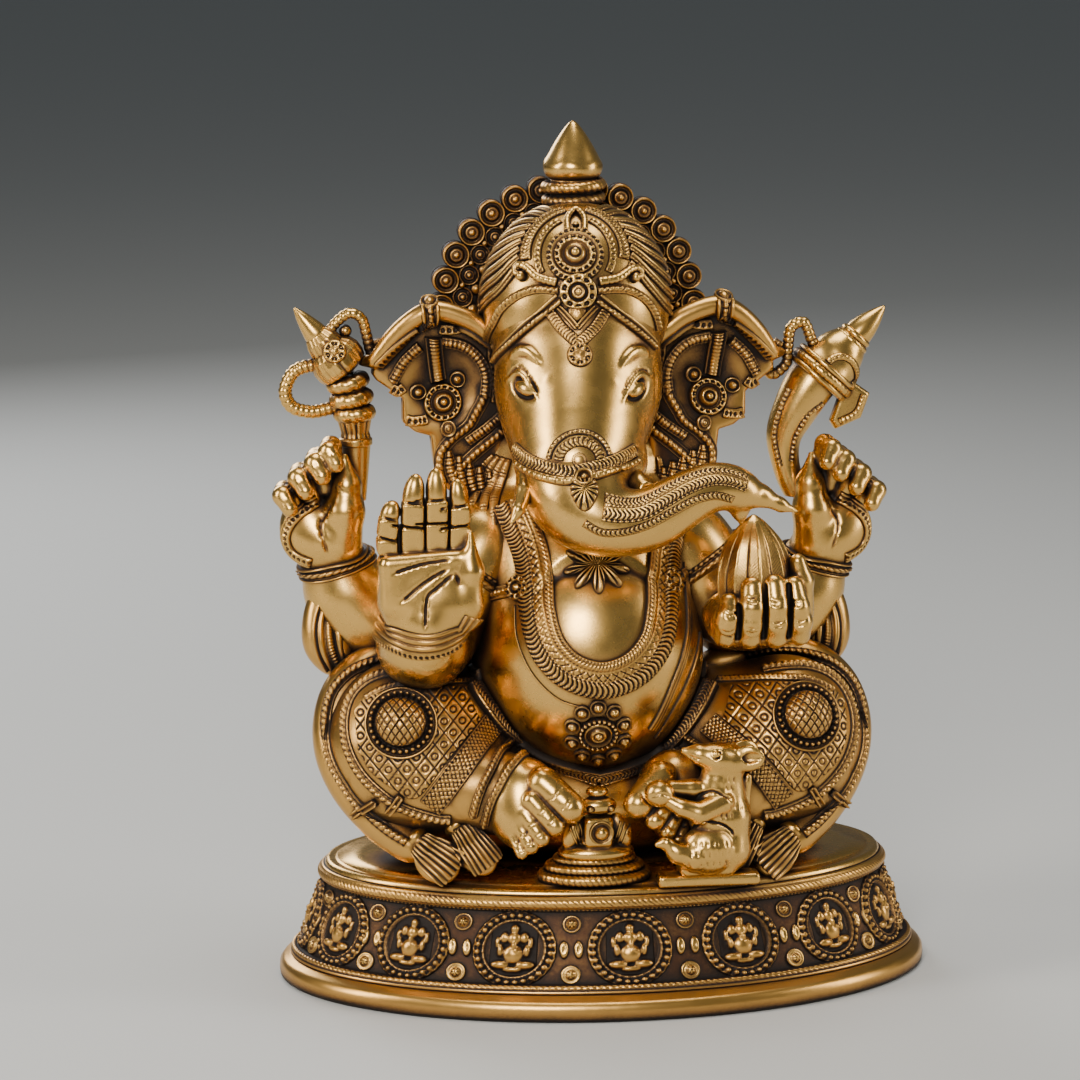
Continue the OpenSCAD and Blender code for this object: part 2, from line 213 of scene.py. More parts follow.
class Clay:
    """A block of clay on a voxel grid. Its depth is the distance to the surface, negative inside."""

    reach = 4.0

    def __init__(self, low, high, pitch):
        self.low, self.pitch = np.floor(vec(low) / pitch) * pitch, pitch
        self.count = np.ceil((vec(high) - self.low) / pitch).astype(int) + 1
        self.depth = np.full(self.count, self.reach, np.float32)

    def near(self, low, high):
        first = np.clip(np.floor((low - self.low) / self.pitch), 0, self.count - 1).astype(int)
        last = np.clip(np.ceil((high - self.low) / self.pitch) + 1, 1, self.count).astype(int)
        part = tuple(slice(a, b) for a, b in zip(first, last))
        x, y, z = (np.float32(self.low[k] + self.pitch * np.arange(first[k], last[k])) for k in range(3))
        return part, x[:, None, None], y[None, :, None], z[None, None, :]

    def add(self, shape, soft=1.0):
        low, high, far = shape
        part, x, y, z = self.near(low - self.reach, high + self.reach)
        self.depth[part] = soft_min(self.depth[part], far(x, y, z), soft)

    def cut(self, shape, soft=0.3):
        low, high, far = shape
        part, x, y, z = self.near(low - self.reach, high + self.reach)
        self.depth[part] = -soft_min(-self.depth[part], far(x, y, z), soft)

    def rods(self, points, soft=1.0, joint=None):
        """A chain of tapering rods through points of x, y, z and radius."""
        points = [vec(p) for p in points]
        for k, (a, b) in enumerate(zip(points, points[1:])):
            self.add(bone(a[:3], b[:3], a[3], b[3]), soft if k == 0 or joint is None else joint)

    def tube(self, points, soft=1.0, step=1.5):
        """One smooth tapering tube through points of x, y, z and radius."""
        path, _, _ = smooth_path(points, step)
        self.rods(path, soft, joint=0.6 * float(path[:, 3].min()))

    def groove(self, points, width, deep, step=0.9):
        """A round-bottomed cut along the surface, tapered to nothing at its ends."""
        path, stops, run = smooth_path(points, step)
        path = self.settle(path)
        normal = self.lean(path)
        taper = np.clip(np.minimum(stops, run - stops) / max(1.6 * width, 0.1), 0.25, 1)
        r = width / 2
        middle = path + normal * (r - deep * taper)[:, None]
        for a, b in zip(middle, middle[1:]):
            self.cut(bone(a, b, r, r), 0.12)

    def at(self, points, field=None):
        """The depth at any points, read between the voxels."""
        field = self.depth if field is None else field
        q = (np.asarray(points, float) - self.low) / self.pitch
        q = np.clip(q, 0, self.count - 1.001)
        i = q.astype(int)
        f = q - i
        i, j, k = i[..., 0], i[..., 1], i[..., 2]
        u, v, w = f[..., 0], f[..., 1], f[..., 2]
        low = ((field[i, j, k] * (1 - u) + field[i + 1, j, k] * u) * (1 - v)
               + (field[i, j + 1, k] * (1 - u) + field[i + 1, j + 1, k] * u) * v)
        high = ((field[i, j, k + 1] * (1 - u) + field[i + 1, j, k + 1] * u) * (1 - v)
                + (field[i, j + 1, k + 1] * (1 - u) + field[i + 1, j + 1, k + 1] * u) * v)
        return low * (1 - w) + high * w

    def lean(self, points, span=None):
        """The way out of the surface at any points."""
        e = span or 1.5 * self.pitch
        slope = [self.at(points + e * axis) - self.at(points - e * axis) for axis in np.eye(3)]
        return unit(np.stack(slope, axis=-1))

    def settle(self, points, turns=6):
        """Points moved onto the nearest surface."""
        points = np.array(points, float)
        for _ in range(turns):
            points = points - self.lean(points) * np.clip(self.at(points), -2.5, 2.5)[..., None]
        return points

    def hollows(self, points, span=1.0):
        """How deep in a hollow each point lies, from 0 on open ground to 1 in a cut."""
        field = np.clip(self.depth, -2.5, 2.5)
        wide = max(1, int(round(span / self.pitch)))
        for axis in range(3):
            for _ in range(2):
                pad = [(wide + 1, wide) if a == axis else (0, 0) for a in range(3)]
                total = np.cumsum(np.pad(field, pad, mode="edge"), axis=axis, dtype=np.float64)
                count = field.shape[axis]
                high = np.take(total, np.arange(2 * wide + 1, 2 * wide + 1 + count), axis=axis)
                low = np.take(total, np.arange(count), axis=axis)
                field = ((high - low) / (2 * wide + 1)).astype(np.float32)
        return np.clip(-self.at(points, field) / (0.28 * span), -1, 1)

    def cast(self, name, span=1.0, age=None):
        """The mesh of the clay's surface. What age gives at its points is added to their hollows."""
        grid = openvdb.FloatGrid(self.reach)
        grid.copyFromArray(self.depth)
        points, quads = grid.convertToQuads(isovalue=0.0)
        points = self.low + points * self.pitch
        hollow = self.hollows(points, span)
        return make_mesh(name, points, [quads], hollow if age is None else hollow + age(points))


class Group(Clay):
    """Several clays taken as one surface, for ornament to lie on."""

    def __init__(self, *clays):
        self.clays, self.pitch = clays, min(clay.pitch for clay in clays)

    def at(self, points, field=None):
        return np.minimum.reduce([clay.at(points) for clay in self.clays])


class Mirrored(Clay):
    """A clay as its twin is: across the plane X = middle, then moved by shift."""

    def __init__(self, clay, middle, shift):
        self.clay, self.middle, self.shift, self.pitch = clay, middle, vec(shift), clay.pitch

    def at(self, points, field=None):
        return self.clay.at(flip_x(np.asarray(points) - self.shift, self.middle))


# ---------------------------------------------------------------- meshes

def make_mesh(name, points, faces, hollow):
    """A mesh object from points in millimetres and a list of face arrays, one array for each face size."""
    faces = [np.asarray(f, np.int32) for f in faces if len(f)]
    centre = points.mean(0)
    volume = 0.0
    for f in faces:
        for k in range(1, f.shape[1] - 1):
            a, b, c = points[f[:, 0]] - centre, points[f[:, k]] - centre, points[f[:, k + 1]] - centre
            volume += float(np.einsum("ij,ij->i", a, np.cross(b, c)).sum())
    if volume < 0:
        faces = [f[:, ::-1] for f in faces]
    mesh = bpy.data.meshes.new(name)
    mesh.vertices.add(len(points))
    mesh.vertices.foreach_set("co", (np.asarray(points) * MM).astype(np.float32).ravel())
    corner = np.concatenate([f.ravel() for f in faces])
    size = np.concatenate([np.full(len(f), f.shape[1]) for f in faces])
    mesh.loops.add(len(corner))
    mesh.loops.foreach_set("vertex_index", corner)
    mesh.polygons.add(len(size))
    mesh.polygons.foreach_set("loop_start", np.concatenate([[0], np.cumsum(size)[:-1]]))
    mesh.polygons.foreach_set("loop_total", size)
    mesh.polygons.foreach_set("use_smooth", np.full(len(size), True))
    layer = mesh.attributes.new("hollow", "FLOAT", "POINT")
    layer.data.foreach_set("value", np.asarray(hollow, np.float32))
    mesh.update(calc_edges=True)
    mesh.validate()
    piece = bpy.data.objects.new(name, mesh)
    bpy.context.collection.objects.link(piece)
    return piece


def rings_mesh(rings, loop=False):
    """Points and faces of a skin over rings of points, closed by a cap at each end unless it is a loop."""
    rows, around = rings.shape[:2]
    i = np.arange(rows if loop else rows - 1)[:, None]
    j = np.arange(around)[None, :]
    a, b = i * around + j, i * around + (j + 1) % around
    c, d = ((i + 1) % rows) * around + (j + 1) % around, ((i + 1) % rows) * around + j
    faces = [np.stack([a, b, c, d], axis=-1).reshape(-1, 4)]
    if not loop:
        cap = np.arange(around)
        faces.append(np.stack([cap[::-1], (rows - 1) * around + cap]))
    return rings.reshape(-1, 3), faces


class Heap:
    """Many small closed skins gathered into one mesh."""

    def __init__(self):
        self.points, self.faces, self.hollow, self.total = [], {}, [], 0

    def put(self, rings, hollow, loop=False):
        points, faces = rings_mesh(rings, loop)
        centre = points.mean(0)
        quads = faces[0]
        a, b, c = (points[quads[:, k]] - centre for k in (0, 1, 2))
        flip = np.einsum("ij,ij->i", a, np.cross(b, c)).sum() < 0
        for f in faces:
            f = f[:, ::-1] if flip else f
            self.faces.setdefault(f.shape[1], []).append(f + self.total)
        self.points.append(points)
        self.hollow.append(np.asarray(hollow, float).reshape(-1))
        self.total += len(points)

    def cast(self, name):
        faces = [np.concatenate(f) for f in self.faces.values()]
        return make_mesh(name, np.concatenate(self.points), faces, np.concatenate(self.hollow))


# ---------------------------------------------------------------- the front view

TURN, TIP, AWAY = radians(-8.2), radians(11), 1300.0
BACK = vec(sin(TURN) * cos(TIP), -cos(TURN) * cos(TIP), sin(TIP))
AIM = vec(cos(TURN), sin(TURN), 0) * -19.5 + vec(0, 0, 133.3)
EYE = AIM + BACK * AWAY


def front(clay, points, y=-38.0):
    """Points given as X and Z on the plane Y = y, carried along the front view's sight lines onto the clay.
    A sight line that misses gives the spot on the clay that it passes closest to."""
    points = np.array([(p[0], y, p[1]) for p in points], float)
    along = unit(points - EYE)
    here = points - along * 34
    best, least = here.copy(), np.full(len(points), 1e9)
    for _ in range(90):
        depth = clay.at(here)
        closer = np.abs(depth) < least - 1e-4
        best[closer], least[closer] = here[closer], np.abs(depth)[closer]
        here = here + along * 0.8 * np.clip(depth, -2, 3)[:, None]
    return np.where(least[:, None] > 0.2, clay.settle(best, 12), best)


def arc(hub, radius, first, last, tall=1.0, count=9):
    """Points of X and Z round a hub, between two angles in degrees."""
    angle = np.radians(np.linspace(first, last, count))
    return [(hub[0] + radius * cos(a), hub[1] + radius * tall * sin(a)) for a in angle]


# ---------------------------------------------------------------- cut patterns
# A pattern gives a height from 0 to 1, from s, the way along, and t, from -1 to 1 across. It may give
# a brightness as well, where that is not the same as its height.

def dome(t):
    return np.sqrt(np.clip(1 - t * t, 0, 1))


def stroke(q, wide=0.22):
    """1 on a cut line wherever q is a whole number, and 0 away from it."""
    off = np.abs((q + 0.5) % 1 - 0.5)
    h = np.clip(1 - off / wide, 0, 1)
    return h * h * (3 - 2 * h)


def flat(edge=0.2):
    return lambda s, t: dome(np.clip((np.abs(t) - 1 + edge) / edge, 0, 1)) + 0 * s


def bead(pitch):
    return lambda s, t: np.sqrt(np.clip(1 - (s / pitch % 1 * 2 - 1) ** 2 - t * t, 0, 1))


def rope(pitch, slant=1.0):
    return lambda s, t: dome(t) * (0.5 + 0.5 * dome((s / pitch + slant * t / 2) % 1 * 2 - 1))


def ribs(pitch, deep=0.5):
    return lambda s, t: dome(t * 0.96) * (1 - deep + deep * dome(s / pitch % 1 * 2 - 1))


def comb(pitch, bow=1.0, deep=0.6):
    """Curved chisel strokes across a flat band."""
    return lambda s, t: flat(0.15)(s, t) * (1 - deep * stroke(s / pitch + bow * (1 - t * t), 0.3))


def crosses(pitch, deep=0.6):
    def cut(s, t):
        q = s / pitch % 1 * 2 - 1
        mark = np.exp(-((np.abs(q * 1.25) - np.abs(t)) / 0.16) ** 2) * (np.abs(t) < 0.85)
        return flat(0.12)(s, t) * (1 - deep * mark)
    return cut


def dots(pitch, size=0.5, deep=0.7):
    """Round punch marks in a row, each with a small crown left in its middle."""
    def cut(s, t):
        r = np.hypot(s / pitch % 1 * 2 - 1, t) / size
        return flat(0.15)(s, t) * (1 - deep * np.exp(-((r - 0.75) / 0.35) ** 2))
    return cut


def reeds(count, deep=0.7):
    """Reeds that run along the band."""
    return lambda s, t: (1 - deep) * flat(0.1)(s, t) + deep * dome((t + 1) / 2 * count % 1 * 2 - 1)


def net(wide, pitch, deep=0.6):
    """Crossing lines on a band of the given width."""
    def cut(s, t):
        v = t * wide / 2
        lines = np.maximum(stroke((s + 0.8 * v) / pitch, 0.2), stroke((s - 0.8 * v) / pitch, 0.2))
        return flat(0.08)(s, t) * (1 - deep * lines)
    return cut


def lattice(x, z):
    """Diamond cells with a small punched ring in each."""
    a, b = x / 5.4 + z / 7.0, x / 5.4 - z / 7.0
    lines = np.maximum(stroke(a, 0.085), stroke(b, 0.085))
    p, q = a % 1 - 0.5, b % 1 - 0.5
    ring = np.exp(-((np.hypot((p + q) * 2.7, (p - q) * 3.5) - 0.95) / 0.28) ** 2)
    cut = np.maximum(lines, 0.9 * ring)
    return 0.75 - 0.45 * cut, 0.95 * cut


def knob(s, t):
    """The domed middle of a boss."""
    return dome((1 - t) / 2) + 0 * s


def eyelet(s, t):
    """The domed middle of a boss, with a ring cut round its crown."""
    r = (1 - t) / 2
    return dome(r) * (1 - 0.4 * np.exp(-((r - 0.42) / 0.1) ** 2)) + 0 * s


def hatched(radius, pitch, deep=0.45):
    """The domed middle of a boss, cut with crossing lines."""
    def cut(s, t):
        r = (1 - t) / 2
        u, w = radius * r * np.cos(2 * pi * s), radius * r * np.sin(2 * pi * s)
        lines = np.maximum(stroke((u + 0.7 * w) / pitch, 0.2), stroke((u - 0.7 * w) / pitch, 0.2))
        lines = lines * (r < 0.93)
        return dome(r * 0.97) - deep * 0.12 * lines, (1 - deep * lines) * np.clip((1 - r) / 0.08, 0, 1)
    return cut


def relief(lanes, s, v):
    """Height, and how deep in a cut, for lanes of width, rise and pattern laid side by side from v = 0."""
    s, v = np.broadcast_arrays(s, v)
    height, worn, edge = np.zeros(s.shape), np.zeros(s.shape), 0.0
    for width, rise, pattern in lanes:
        t = (v - edge) / width * 2 - 1
        on = np.abs(t) <= 1
        value = pattern(s, np.clip(t, -1, 1))
        value, bright = value if isinstance(value, tuple) else (value, value)
        height = np.where(on, rise * value, height)
        worn = np.where(on, bright, worn)
        edge += width
    return height, 1 - worn


def width_of(lanes):
    return sum(lane[0] for lane in lanes)


# ---------------------------------------------------------------- laid ornament

def lay(heap, path, lanes, clay=None, out=None, loop=False, step=0.34, sink=0.7, fade=0.0, side=0.0,
        narrow=None, base=0.0):
    """A strip of lanes along a path, settled on the clay. Seen along the path, the first lane is leftmost."""
    path, stops, run = smooth_path(path, step, loop)
    if clay is not None:
        path = clay.settle(path)
        normal = clay.lean(path, 1.2)
    else:
        normal = np.broadcast_to(unit(out), path.shape)
    ahead = np.roll(path, -1, 0) - np.roll(path, 1, 0)
    if not loop:
        ahead[0], ahead[-1] = path[1] - path[0], path[-1] - path[-2]
    aside = unit(np.cross(unit(ahead), normal))
    wide = width_of(lanes)
    v = np.linspace(0, wide, max(5, int(round(wide / step)) + 1))
    scale = np.ones(len(path)) if narrow is None else narrow(stops / run)
    middle = (v - wide / 2)[None, :] * scale[:, None] + side
    ground = path[:, None, :] + aside[:, None, :] * middle[..., None]
    if clay is not None:
        ground = clay.settle(ground, 3)
        normals = clay.lean(ground, 0.8)
    else:
        normals = np.broadcast_to(normal[:, None, :], ground.shape)
    height, hollow = relief(lanes, stops[:, None], v[None, :])
    if fade:
        height = height * dome(1 - np.clip(np.minimum(stops, run - stops) / fade, 0, 1))[:, None]
    top = ground + normals * (height + base)[..., None]
    under = ground[:, [-1, 0]] - normals[:, [-1, 0]] * sink
    rings = np.concatenate([top, under], axis=1)
    heap.put(rings, np.concatenate([hollow, np.ones((len(path), 2))], axis=1), loop)


def chase(heap, clay, points, lanes, y=-38.0, **options):
    """A strip laid where the front view sees the points."""
    lay(heap, front(clay, points, y), lanes, clay, **options)


def seat(clay, points, lift, y=-38.0):
    """Where the front view sees the points, lifted off the clay."""
    points = front(clay, points, y)
    return points + clay.lean(points) * lift


def axes_for(out, up=(0, 0, 1)):
    """Out, sideways and up unit vectors of a small workplace that faces out."""
    out = unit(out)
    right = unit(np.cross(up, out))
    return out, right, np.cross(out, right)


def boss(heap, centre, radius, zones, clay=None, out=(0, -1, 0), tall=1.0, around=None, sink=0.8, spin=0.0,
         place=None, shape=None, step=0.34):
    """A round boss of zones, from its rim inwards. Patterns run once round as s goes from 0 to 1."""
    if clay is not None:
        centre = clay.settle(vec(centre)[None])[0]
        out = clay.lean(centre[None], 1.5)[0] if out is None else out
    if place is None:
        n, right, up = axes_for(out)

        def place(u, w):
            points = vec(centre) + u[..., None] * right + w[..., None] * up
            if clay is None:
                return points, np.broadcast_to(n, points.shape)
            points = clay.settle(points, 4)
            return points, clay.lean(points, 0.8)
    turns = around or max(20, int(2 * pi * radius / step))
    rows = max(4, int(round(radius / step)))
    share = np.linspace(1, 0.5 / rows, rows)
    angle = np.arange(turns) / turns
    theta = 2 * pi * angle[None, :] + spin
    edge = 1.0 if shape is None else shape(theta)
    u = radius * share[:, None] * np.cos(theta) * edge
    w = radius * tall * share[:, None] * np.sin(theta) * edge
    ground, normals = place(u, w)
    height, hollow = relief(zones, angle[None, :], radius * (1 - share)[:, None])
    top = ground + normals * height[..., None]
    under = ground[:1] - normals[:1] * sink
    heap.put(np.concatenate([under, top]), np.concatenate([np.ones((1, turns)), hollow]))


def drape(heap, clay, top, bottom, height, y=-38.0, step=0.38, sink=0.7):
    """A sheet between two rows of front-view points, with its height given by X and Z on their plane."""
    rows = [smooth_path(row, 0.2)[0] for row in (top, bottom)]
    wide = max(np.linalg.norm(np.diff(row, axis=0), axis=1).sum() for row in rows)
    tall = max(np.linalg.norm(rows[0][k] - rows[1][k]) for k in (0, -1))
    tall = max(tall, np.linalg.norm(rows[0][len(rows[0]) // 2] - rows[1][len(rows[1]) // 2]))
    across, down = np.linspace(0, 1, int(wide / step) + 2), np.linspace(0, 1, int(tall / step) + 2)
    edges = [np.stack([np.interp(across * (len(r) - 1), np.arange(len(r)), r[:, k]) for k in (0, 1)], -1)
             for r in rows]
    grid = edges[0][:, None] * (1 - down)[None, :, None] + edges[1][:, None] * down[None, :, None]
    ground = front(clay, grid.reshape(-1, 2), y).reshape(*grid.shape[:2], 3)
    normals = clay.lean(ground, 0.8)
    rise, hollow = height(grid[..., 0], grid[..., 1])
    edge = np.minimum.outer(np.minimum(across, 1 - across) * wide, np.minimum(down, 1 - down) * tall)
    rise = rise * np.clip(edge / 0.4, 0, 1)
    cover = ground + normals * rise[..., None]
    under = ground[:, [-1, 0]] - normals[:, [-1, 0]] * sink
    worn = np.concatenate([hollow, np.ones((len(across), 2))], axis=1)
    heap.put(np.concatenate([cover, under], axis=1), worn)


def rosette(heap, clay, point, radius, zones, y=-38.0, **options):
    """A boss where the front view sees the point."""
    boss(heap, front(clay, [point], y)[0], radius, zones, clay, out=None, **options)


def button(radius, rise):
    """Zones of a plain ringed button."""
    return [(0.26 * radius, 0.6 * rise, flat(0.9)), (0.12 * radius, 0.2 * rise, flat()),
            (0.62 * radius, rise, eyelet)]


def cord(heap, path, radius, pitch=None, kind="rope", loop=False, up=(0, 0, 1), sides=12, step=0.34,
         strands=2):
    """A free rod along a path: plain, a twisted rope, or ribbed in rings. A fourth column scales it."""
    path, stops, run = smooth_path(path, step, loop)
    size = radius * (path[:, 3] if path.shape[1] > 3 else np.ones(len(path)))
    path = path[:, :3]
    ahead = np.roll(path, -1, 0) - np.roll(path, 1, 0)
    if not loop:
        ahead[0], ahead[-1] = path[1] - path[0], path[-1] - path[-2]
    ahead = unit(ahead)
    right = unit(np.cross(ahead, up))
    above = np.cross(right, ahead)
    theta = np.arange(sides) / sides
    if pitch and loop:
        pitch = run / max(1, round(run / pitch))
    s = (stops / pitch)[:, None] if pitch else stops[:, None] * 0
    if kind == "rope":
        value = 0.5 + 0.5 * dome((s + strands * theta[None, :]) % 1 * 2 - 1)
    elif kind == "rings":
        value = (0.4 + 0.6 * dome(s % 1 * 2 - 1)) + 0 * theta[None, :]
    else:
        value = np.ones((len(path), sides))
    reach = size[:, None] * (0.72 + 0.28 * value)
    ring = (np.cos(2 * pi * theta)[None, :, None] * right[:, None, :]
            + np.sin(2 * pi * theta)[None, :, None] * above[:, None, :])
    heap.put(path[:, None, :] + ring * reach[..., None], (1 - value) * 1.1, loop)


def turned(heap, base, axis, profile, cut=None, sides=72, smooth=False, step=0.4, squash=1.0):
    """A turned form about an axis from its base, by a profile of radius and height."""
    if smooth:
        outline, _, _ = smooth_path(profile, step)
    else:
        outline = [vec(*profile[0])]
        for a, b in zip(profile, profile[1:]):
            parts = max(1, int(ceil(hypot(b[0] - a[0], b[1] - a[1]) / step)))
            outline += [vec(*a) + (vec(*b) - vec(*a)) * k / parts for k in range(1, parts + 1)]
        outline = np.array(outline)
    along, side, above = turned_axes(axis, (0, 1, 0))
    angle = np.arange(sides) / sides
    r, z = np.maximum(outline[:, :1], 0.05), outline[:, 1:]
    value = np.ones((len(outline), sides)) if cut is None else cut(angle[None, :], z)[1]
    if cut is not None:
        r = r + cut(angle[None, :], z)[0]
    theta = 2 * pi * angle[None, :, None]
    ring = np.cos(theta) * side + squash * np.sin(theta) * above
    heap.put(vec(base) + z[..., None] * along + ring * (r + 0 * angle)[..., None], 1 - value)


# ---------------------------------------------------------------- finishes

class Wire:
    """A shader socket that takes part in sums."""

    def __init__(self, tree, socket):
        self.tree, self.socket = tree, socket

    def maths(self, operation, other=None, turned_round=False):
        values = [self, other] if other is not None else [self]
        if turned_round:
            values.reverse()
        return self.tree.node("ShaderNodeMath", dict(operation=operation), values)

    def __add__(self, other):
        return self.maths("ADD", other)

    def __sub__(self, other):
        return self.maths("SUBTRACT", other)

    def __mul__(self, other):
        return self.maths("MULTIPLY", other)

    def __truediv__(self, other):
        return self.maths("DIVIDE", other)

    def __rsub__(self, other):
        return self.maths("SUBTRACT", other, True)

    def __rtruediv__(self, other):
        return self.maths("DIVIDE", other, True)

    __radd__ = __add__
    __rmul__ = __mul__

    def held(self):
        """The value kept between 0 and 1."""
        return self.tree.node("ShaderNodeMath", dict(operation="ADD", use_clamp=True), [self, 0.0])


class Finish:
    """A material and its node tree."""

    def __init__(self, name):
        self.material = bpy.data.materials.new(name)
        self.material.use_nodes = True
        self.nodes, self.links = self.material.node_tree.nodes, self.material.node_tree.links
        self.shader = self.nodes["Principled BSDF"]

    def node(self, kind, settings=None, inputs=None, output=0):
        made = self.nodes.new(kind)
        for key, value in (settings or {}).items():
            if key == "stops":
                ramp = made.color_ramp.elements
                while len(ramp) < len(value):
                    ramp.new(0.5)
                for element, (place, colour) in zip(ramp, value):
                    element.position, element.color = place, (*colour, 1.0)
            else:
                setattr(made, key, value)
        pairs = inputs.items() if isinstance(inputs, dict) else enumerate(inputs or [])
        for key, value in pairs:
            if isinstance(value, Wire):
                self.links.new(value.socket, made.inputs[key])
            else:
                made.inputs[key].default_value = value
        return Wire(self, made.outputs[output])

    def feed(self, name, value):
        if isinstance(value, Wire):
            self.links.new(value.socket, self.shader.inputs[name])
        else:
            self.shader.inputs[name].default_value = value


def brass(name, bright, patina, rough, grain):
    """Cast brass: rubbed bright on the high spots, with a red-brown to black patina down in the cuts and
    painted shade where other surfaces are near.
    """
    make = Finish(name)
    where = make.node("ShaderNodeTexCoord", output="Object")
    cut = make.node("ShaderNodeAttribute", dict(attribute_name="hollow"), output="Fac")
    shade = make.node("ShaderNodeAmbientOcclusion", dict(samples=6), {"Distance": 0.007}, output="AO")

    def noise(scale, detail):
        return make.node("ShaderNodeTexNoise", {}, {"Vector": where, "Scale": scale, "Detail": detail},
                         output="Fac")

    cloud, speck = noise(70.0, 4.0), noise(900.0, 2.0)
    # Painted shade: the ambient occlusion darkens colour, metallic and roughness wherever other surfaces are
    # near, in creases and between parts. It is summed with the patina in the cuts and scaled by the same
    # patina strength.
    shadow = (1.0 - shade) * 1.5 - 0.22
    patina_and_painted_shade = (cut * 0.75 + shadow + (cloud - 0.5) * 0.2 + (speck - 0.5) * 0.12) * patina
    patina_and_painted_shade = patina_and_painted_shade.held()
    colour = make.node("ShaderNodeValToRGB", dict(stops=[
        (0.0, bright), (0.16, [0.84 * c for c in bright]), (0.36, (0.34, 0.165, 0.048)),
        (0.58, (0.10, 0.040, 0.015)), (0.88, (0.014, 0.008, 0.005))]), [patina_and_painted_shade])
    streak = noise(240.0, 3.0)
    make.feed("Base Color", colour)
    make.feed("Metallic", (1.0 - patina_and_painted_shade * 0.55).held())
    make.feed("Roughness", (rough + patina_and_painted_shade * 0.35 + (streak - 0.5) * 0.10).held())
    bump = make.node("ShaderNodeBump", {}, {"Strength": grain, "Distance": 0.0002,
                                            "Height": speck * 0.5 + streak * 0.9}, output="Normal")
    make.feed("Normal", bump)
    return make.material


# The third figure scales the painted shade from ambient occlusion as well as the patina in the cuts.
POLISHED = brass("polished brass", (0.80, 0.475, 0.128), 1.15, 0.27, 0.10)
ANTIQUED = brass("antiqued brass", (0.70, 0.385, 0.098), 1.65, 0.31, 0.22)


def finish_piece(piece, node, slot="antiqued_brass"):
    """Gives a piece its finish, hangs it from the root, and hides the imported casting that it stands for."""
    piece.data.materials.clear()
    piece.data.materials.append(POLISHED if slot == "polished_brass" else ANTIQUED)
    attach(piece, "root")
    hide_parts(node)
    return piece


def twin(piece, name, node, slot, middle, shift=(0, 0, 0)):
    """A mirrored copy of a piece, across X = middle, then moved by shift."""
    mesh = piece.data.copy()
    mesh.name = name
    points = np.empty(len(mesh.vertices) * 3, np.float32)
    mesh.vertices.foreach_get("co", points)
    points = flip_x(points.reshape(-1, 3), middle * MM) + vec(shift) * MM
    mesh.vertices.foreach_set("co", points.astype(np.float32).ravel())
    mesh.flip_normals()
    mesh.update()
    copy = bpy.data.objects.new(name, mesh)
    bpy.context.collection.objects.link(copy)
    return finish_piece(copy, node, slot)


# ---------------------------------------------------------------- plinth

RIM = vec(100, 62)                      # half sizes of the foot rim
WALL_LOW, WALL_HIGH = vec(94, 54.5, 7.6), vec(85.5, 47, 31.5)
DECK = 37.2                             # height of the deck


def oval_band(heap, profile, lanes=None, inner=8.0, step=0.36, age=0.0):
    """A band swept round the oval, by a profile of half width, half depth and height, bottom first."""
    outline = [vec(*profile[0])]
    for a, b in zip(profile, profile[1:]):
        a, b = vec(*a), vec(*b)
        parts = max(1, int(ceil(np.linalg.norm(b - a) / (step if lanes else 1.2))))
        outline += [a + (b - a) * k / parts for k in range(1, parts + 1)]
    outline = np.array(outline)
    turns = 1440 if lanes else 360
    angle = 2 * pi * np.arange(turns) / turns
    along = np.concatenate([[0], np.cumsum(np.hypot(np.diff(RIM[0] * np.sin(angle)),
                                                    np.diff(RIM[1] * np.cos(angle))))])
    ring = np.stack([np.sin(angle)[:, None] * outline[:, 0], -np.cos(angle)[:, None] * outline[:, 1],
                     np.ones((turns, 1)) * outline[:, 2]], axis=-1)
    ahead = np.roll(ring, -1, 0) - np.roll(ring, 1, 0)
    up = np.gradient(ring, axis=1)
    normal = unit(np.cross(ahead, up))
    v = np.concatenate([[0], np.cumsum(np.linalg.norm(np.diff(outline, axis=0), axis=1))])
    hollow = np.full((turns, len(outline)), age)
    if lanes:
        height, hollow = relief(lanes, along[:, None], v[None, :])
        ring = ring + normal * height[..., None]
    back = ring[:, [-1, 0]]
    shrink = 1 - inner / np.linalg.norm(back[..., :2], axis=-1)
    back[..., :2] *= shrink[..., None]
    rings = np.concatenate([ring, back], axis=1)
    heap.put(rings, np.concatenate([hollow, np.ones((turns, 2)) * 0.6], axis=1), loop=True)


def wall_place(turn, rise):
    """A workplace on the sloping wall, centred at an angle from the front and a share of its height."""
    def place(u, w):
        size = WALL_LOW + (WALL_HIGH - WALL_LOW) * rise
        pace = hypot(size[0] * cos(turn), size[1] * sin(turn))
        t = turn + u / pace
        share = rise + w / np.linalg.norm(WALL_HIGH - WALL_LOW)
        size = WALL_LOW + (WALL_HIGH - WALL_LOW) * share[..., None]
        points = np.stack([size[..., 0] * np.sin(t), -size[..., 1] * np.cos(t), size[..., 2]], axis=-1)
        slope = (WALL_LOW[0] - WALL_HIGH[0]) / (WALL_HIGH[2] - WALL_LOW[2])
        normal = unit(np.stack([np.sin(t) * size[..., 1], -np.cos(t) * size[..., 0],
                                slope * size[..., 0]], axis=-1))
        return points, normal
    return place


